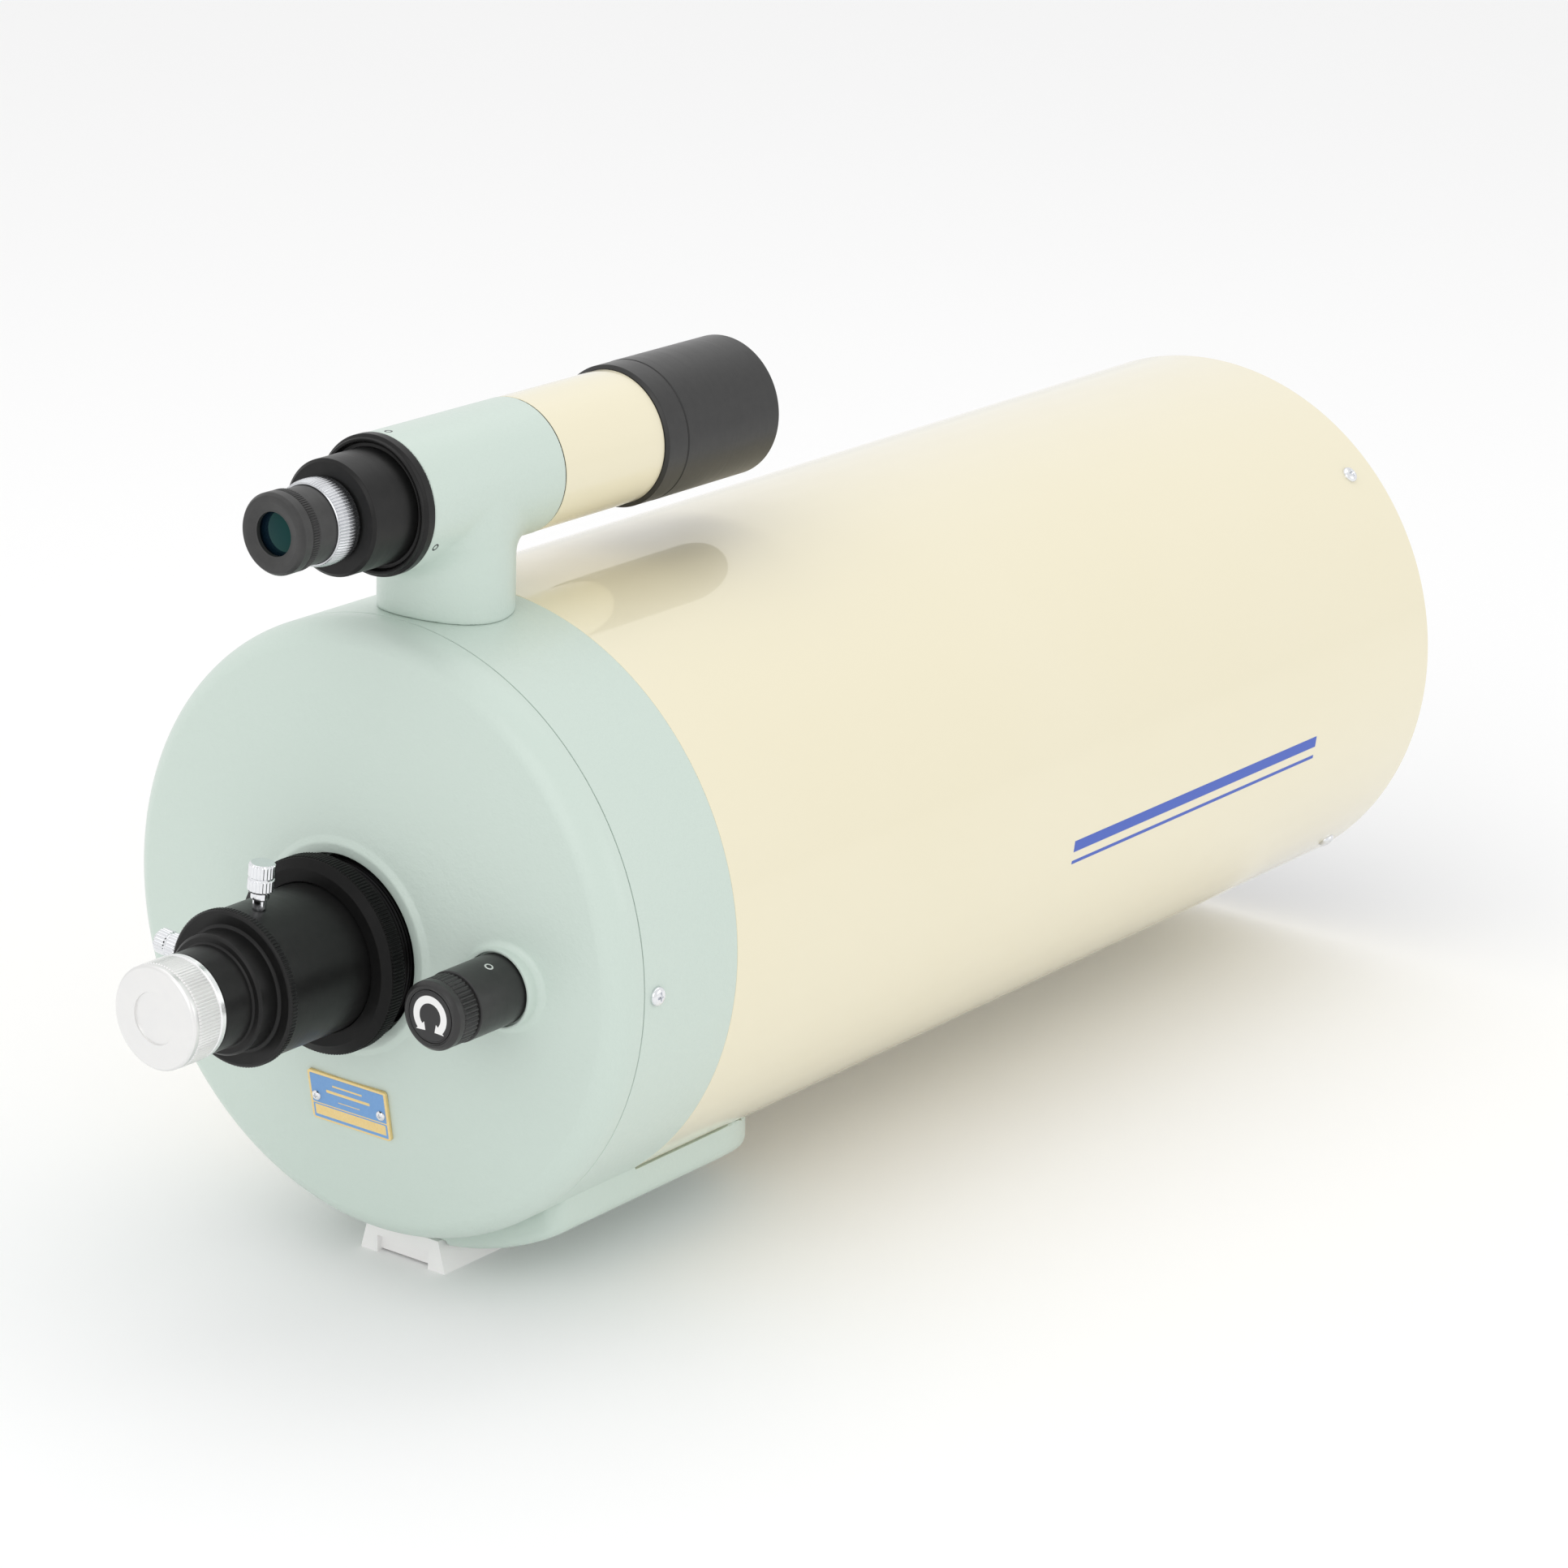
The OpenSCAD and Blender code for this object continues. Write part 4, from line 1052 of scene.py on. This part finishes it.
def make_eye_lenses():
    _, radius, length = place("finder_eye_lens")
    face = [(r, sag(r, EYE_CURVE), 0) for r in np.linspace(0, radius, 12)]
    outline = [*face, (radius, length, 0.1), (0, length)]
    # The eye lens takes the opaque near-black glass, painted shade for the finder's dark inside.
    turned_for("finder_eye_lens", "eye_lens_glass", outline, [EYE_GLASS], closed=False)
    _, radius, length = place("finder_field_lens")
    face = [(r, length - sag(r, EYE_CURVE), 0) for r in np.linspace(radius, 0, 12)]
    outline = [(0, 0), (radius, 0, 0.1), *face]
    turned_for("finder_field_lens", "field_lens_glass", outline, [GLASS], closed=False)


def make_front_lenses():
    """The crown lens and the flint lens behind it, whose curves there are nearly in touch."""
    _, radius, length = place("finder_crown_lens")
    rear = [(r, sag(r, SHARED_CURVE), 0) for r in np.linspace(0, radius, 16)]
    face = [(r, length - sag(r, FRONT_CURVE), 0) for r in np.linspace(radius, 0, 16)]
    turned_for("finder_crown_lens", "crown_lens_glass", rear + face, [GLASS], closed=False)
    _, radius, length = place("finder_flint_lens")
    rim = length - sag(radius, SHARED_CURVE)
    face = [(r, rim + sag(r, SHARED_CURVE), 0) for r in np.linspace(radius, 0, 16)]
    outline = [(0, 0), (radius, 0, 0.1), *face]
    turned_for("finder_flint_lens", "flint_lens_glass", outline, [GLASS], closed=False)


def make_lens_ring():
    _, radius, length = place("finder_lens_ring")
    inner = radius - 1.5
    outline = [(inner, 0), (radius, 0), (radius, length, 0.1), (inner + 0.3, length, 0.2),
               (inner, length - 0.4, 0.1)]
    turned_for("finder_lens_ring", "finder_lens_ring_turned", outline, [FLAT])


KEPT = {
    "spider": FLAT, "secondary_holder": FLAT, "collimation_screws": STEEL, "dovetail_bar": BLASTED,
    "dovetail_screws": DARK_STEEL, "mirror_carrier": SATIN, "mirror_clamp_ring": FLAT, "focus_nut": BRASS,
    "focus_shaft": STEEL, "shaft_collar": DARK_STEEL, "focus_bushing": BRASS, "bracket_screws": DARK_STEEL,
    "finder_reticle": FLAT,
}


def finish_kept_nodes():
    for node, material in KEPT.items():
        mesh = frame["nodes"][node].data
        mesh.materials.clear()
        mesh.materials.append(material)


# ------------ studio


def make_floor():
    paper = Finish("floor_paper", (0.96, 0.96, 0.96), 0.9)
    paper.tint(paper.noise(3), 0.2, (0.95, 0.95, 0.95))
    radius, count = 14.0, 96
    shape = bmesh.new()
    ring = [shape.verts.new((radius * math.cos(a), radius * math.sin(a), 0))
            for a in np.arange(count) * 2 * math.pi / count]
    shape.faces.new(ring)
    mesh = bpy.data.meshes.new("floor")
    shape.to_mesh(mesh)
    shape.free()
    mesh.materials.append(paper.material)
    linked("floor", mesh)


def soft_light(name, location, target, size, power):
    light = bpy.data.lights.new(name, "AREA")
    light.shape = "RECTANGLE"
    light.size, light.size_y = size
    light.energy = power
    lamp = linked(name, light)
    lamp.location = location
    lamp.rotation_mode = "QUATERNION"
    lamp.rotation_quaternion = (Vector(target) - Vector(location)).to_track_quat("-Z", "Y")


def make_lights():
    world = bpy.data.worlds.new("studio")
    world.use_nodes = True
    background = world.node_tree.nodes["Background"]
    background.inputs["Color"].default_value = (1, 1, 1, 1)
    background.inputs["Strength"].default_value = 0.93
    bpy.context.scene.world = world
    middle = (0.13, 0, 0.15)
    soft_light("top_box", (0.2, 0.25, 1.7), middle, (2.4, 1.4), 4.5)
    soft_light("rear_box", (-1.9, -0.5, 1.1), middle, (1.2, 1.4), 5)
    soft_light("side_box", (0.9, -2.2, 0.9), middle, (1.6, 1.0), 3.5)


CAMERA_PLACE = Vector((-1.4416, -1.1881, 0.7947))
CAMERA_AZIMUTH, CAMERA_ELEVATION, CAMERA_ROLL = -53.525, 18.241, 1.682
CAMERA_LENS = 115.79


def make_camera():
    azimuth, elevation, roll = (math.radians(v) for v in (CAMERA_AZIMUTH, CAMERA_ELEVATION, CAMERA_ROLL))
    back = Vector((math.sin(azimuth) * math.cos(elevation), -math.cos(azimuth) * math.cos(elevation),
                   math.sin(elevation)))
    right = Vector((math.cos(azimuth), math.sin(azimuth), 0))
    up = back.cross(right)
    turned_right = math.cos(roll) * right + math.sin(roll) * up
    turned_up = -math.sin(roll) * right + math.cos(roll) * up
    data = bpy.data.cameras.new("camera")
    data.lens = CAMERA_LENS
    data.sensor_width = 36.0
    data.clip_start, data.clip_end = 0.05, 100
    camera = linked("camera", data)
    axes = Matrix((turned_right, turned_up, back)).transposed()
    camera.matrix_world = Matrix.Translation(CAMERA_PLACE) @ axes.to_4x4()
    bpy.context.scene.camera = camera
    bpy.context.scene.view_settings.view_transform = "Standard"


make_tube()
make_front_ring()
make_primary_mirror()
make_secondary_mirror()
make_baffle_tube()
make_secondary_baffle()
make_stripes()
make_cell()
make_cover()
make_boss()
make_cross_head_screws()
make_finder_set_screws()
make_knob_set_screw()
make_nameplate()
make_knob()
make_direction_disc()
make_neck()
make_locking_ring()
make_sleeve()
make_adapter()
make_dust_cap()
make_thumbscrew("top")
make_thumbscrew("side")
make_bracket()
make_finder_tube()
make_objective_cell()
make_dew_shield()
make_focus_barrel()
make_lock_ring()
make_finder_eyepiece()
make_eye_lenses()
make_front_lenses()
make_lens_ring()
finish_kept_nodes()
make_floor()
make_lights()
make_camera()
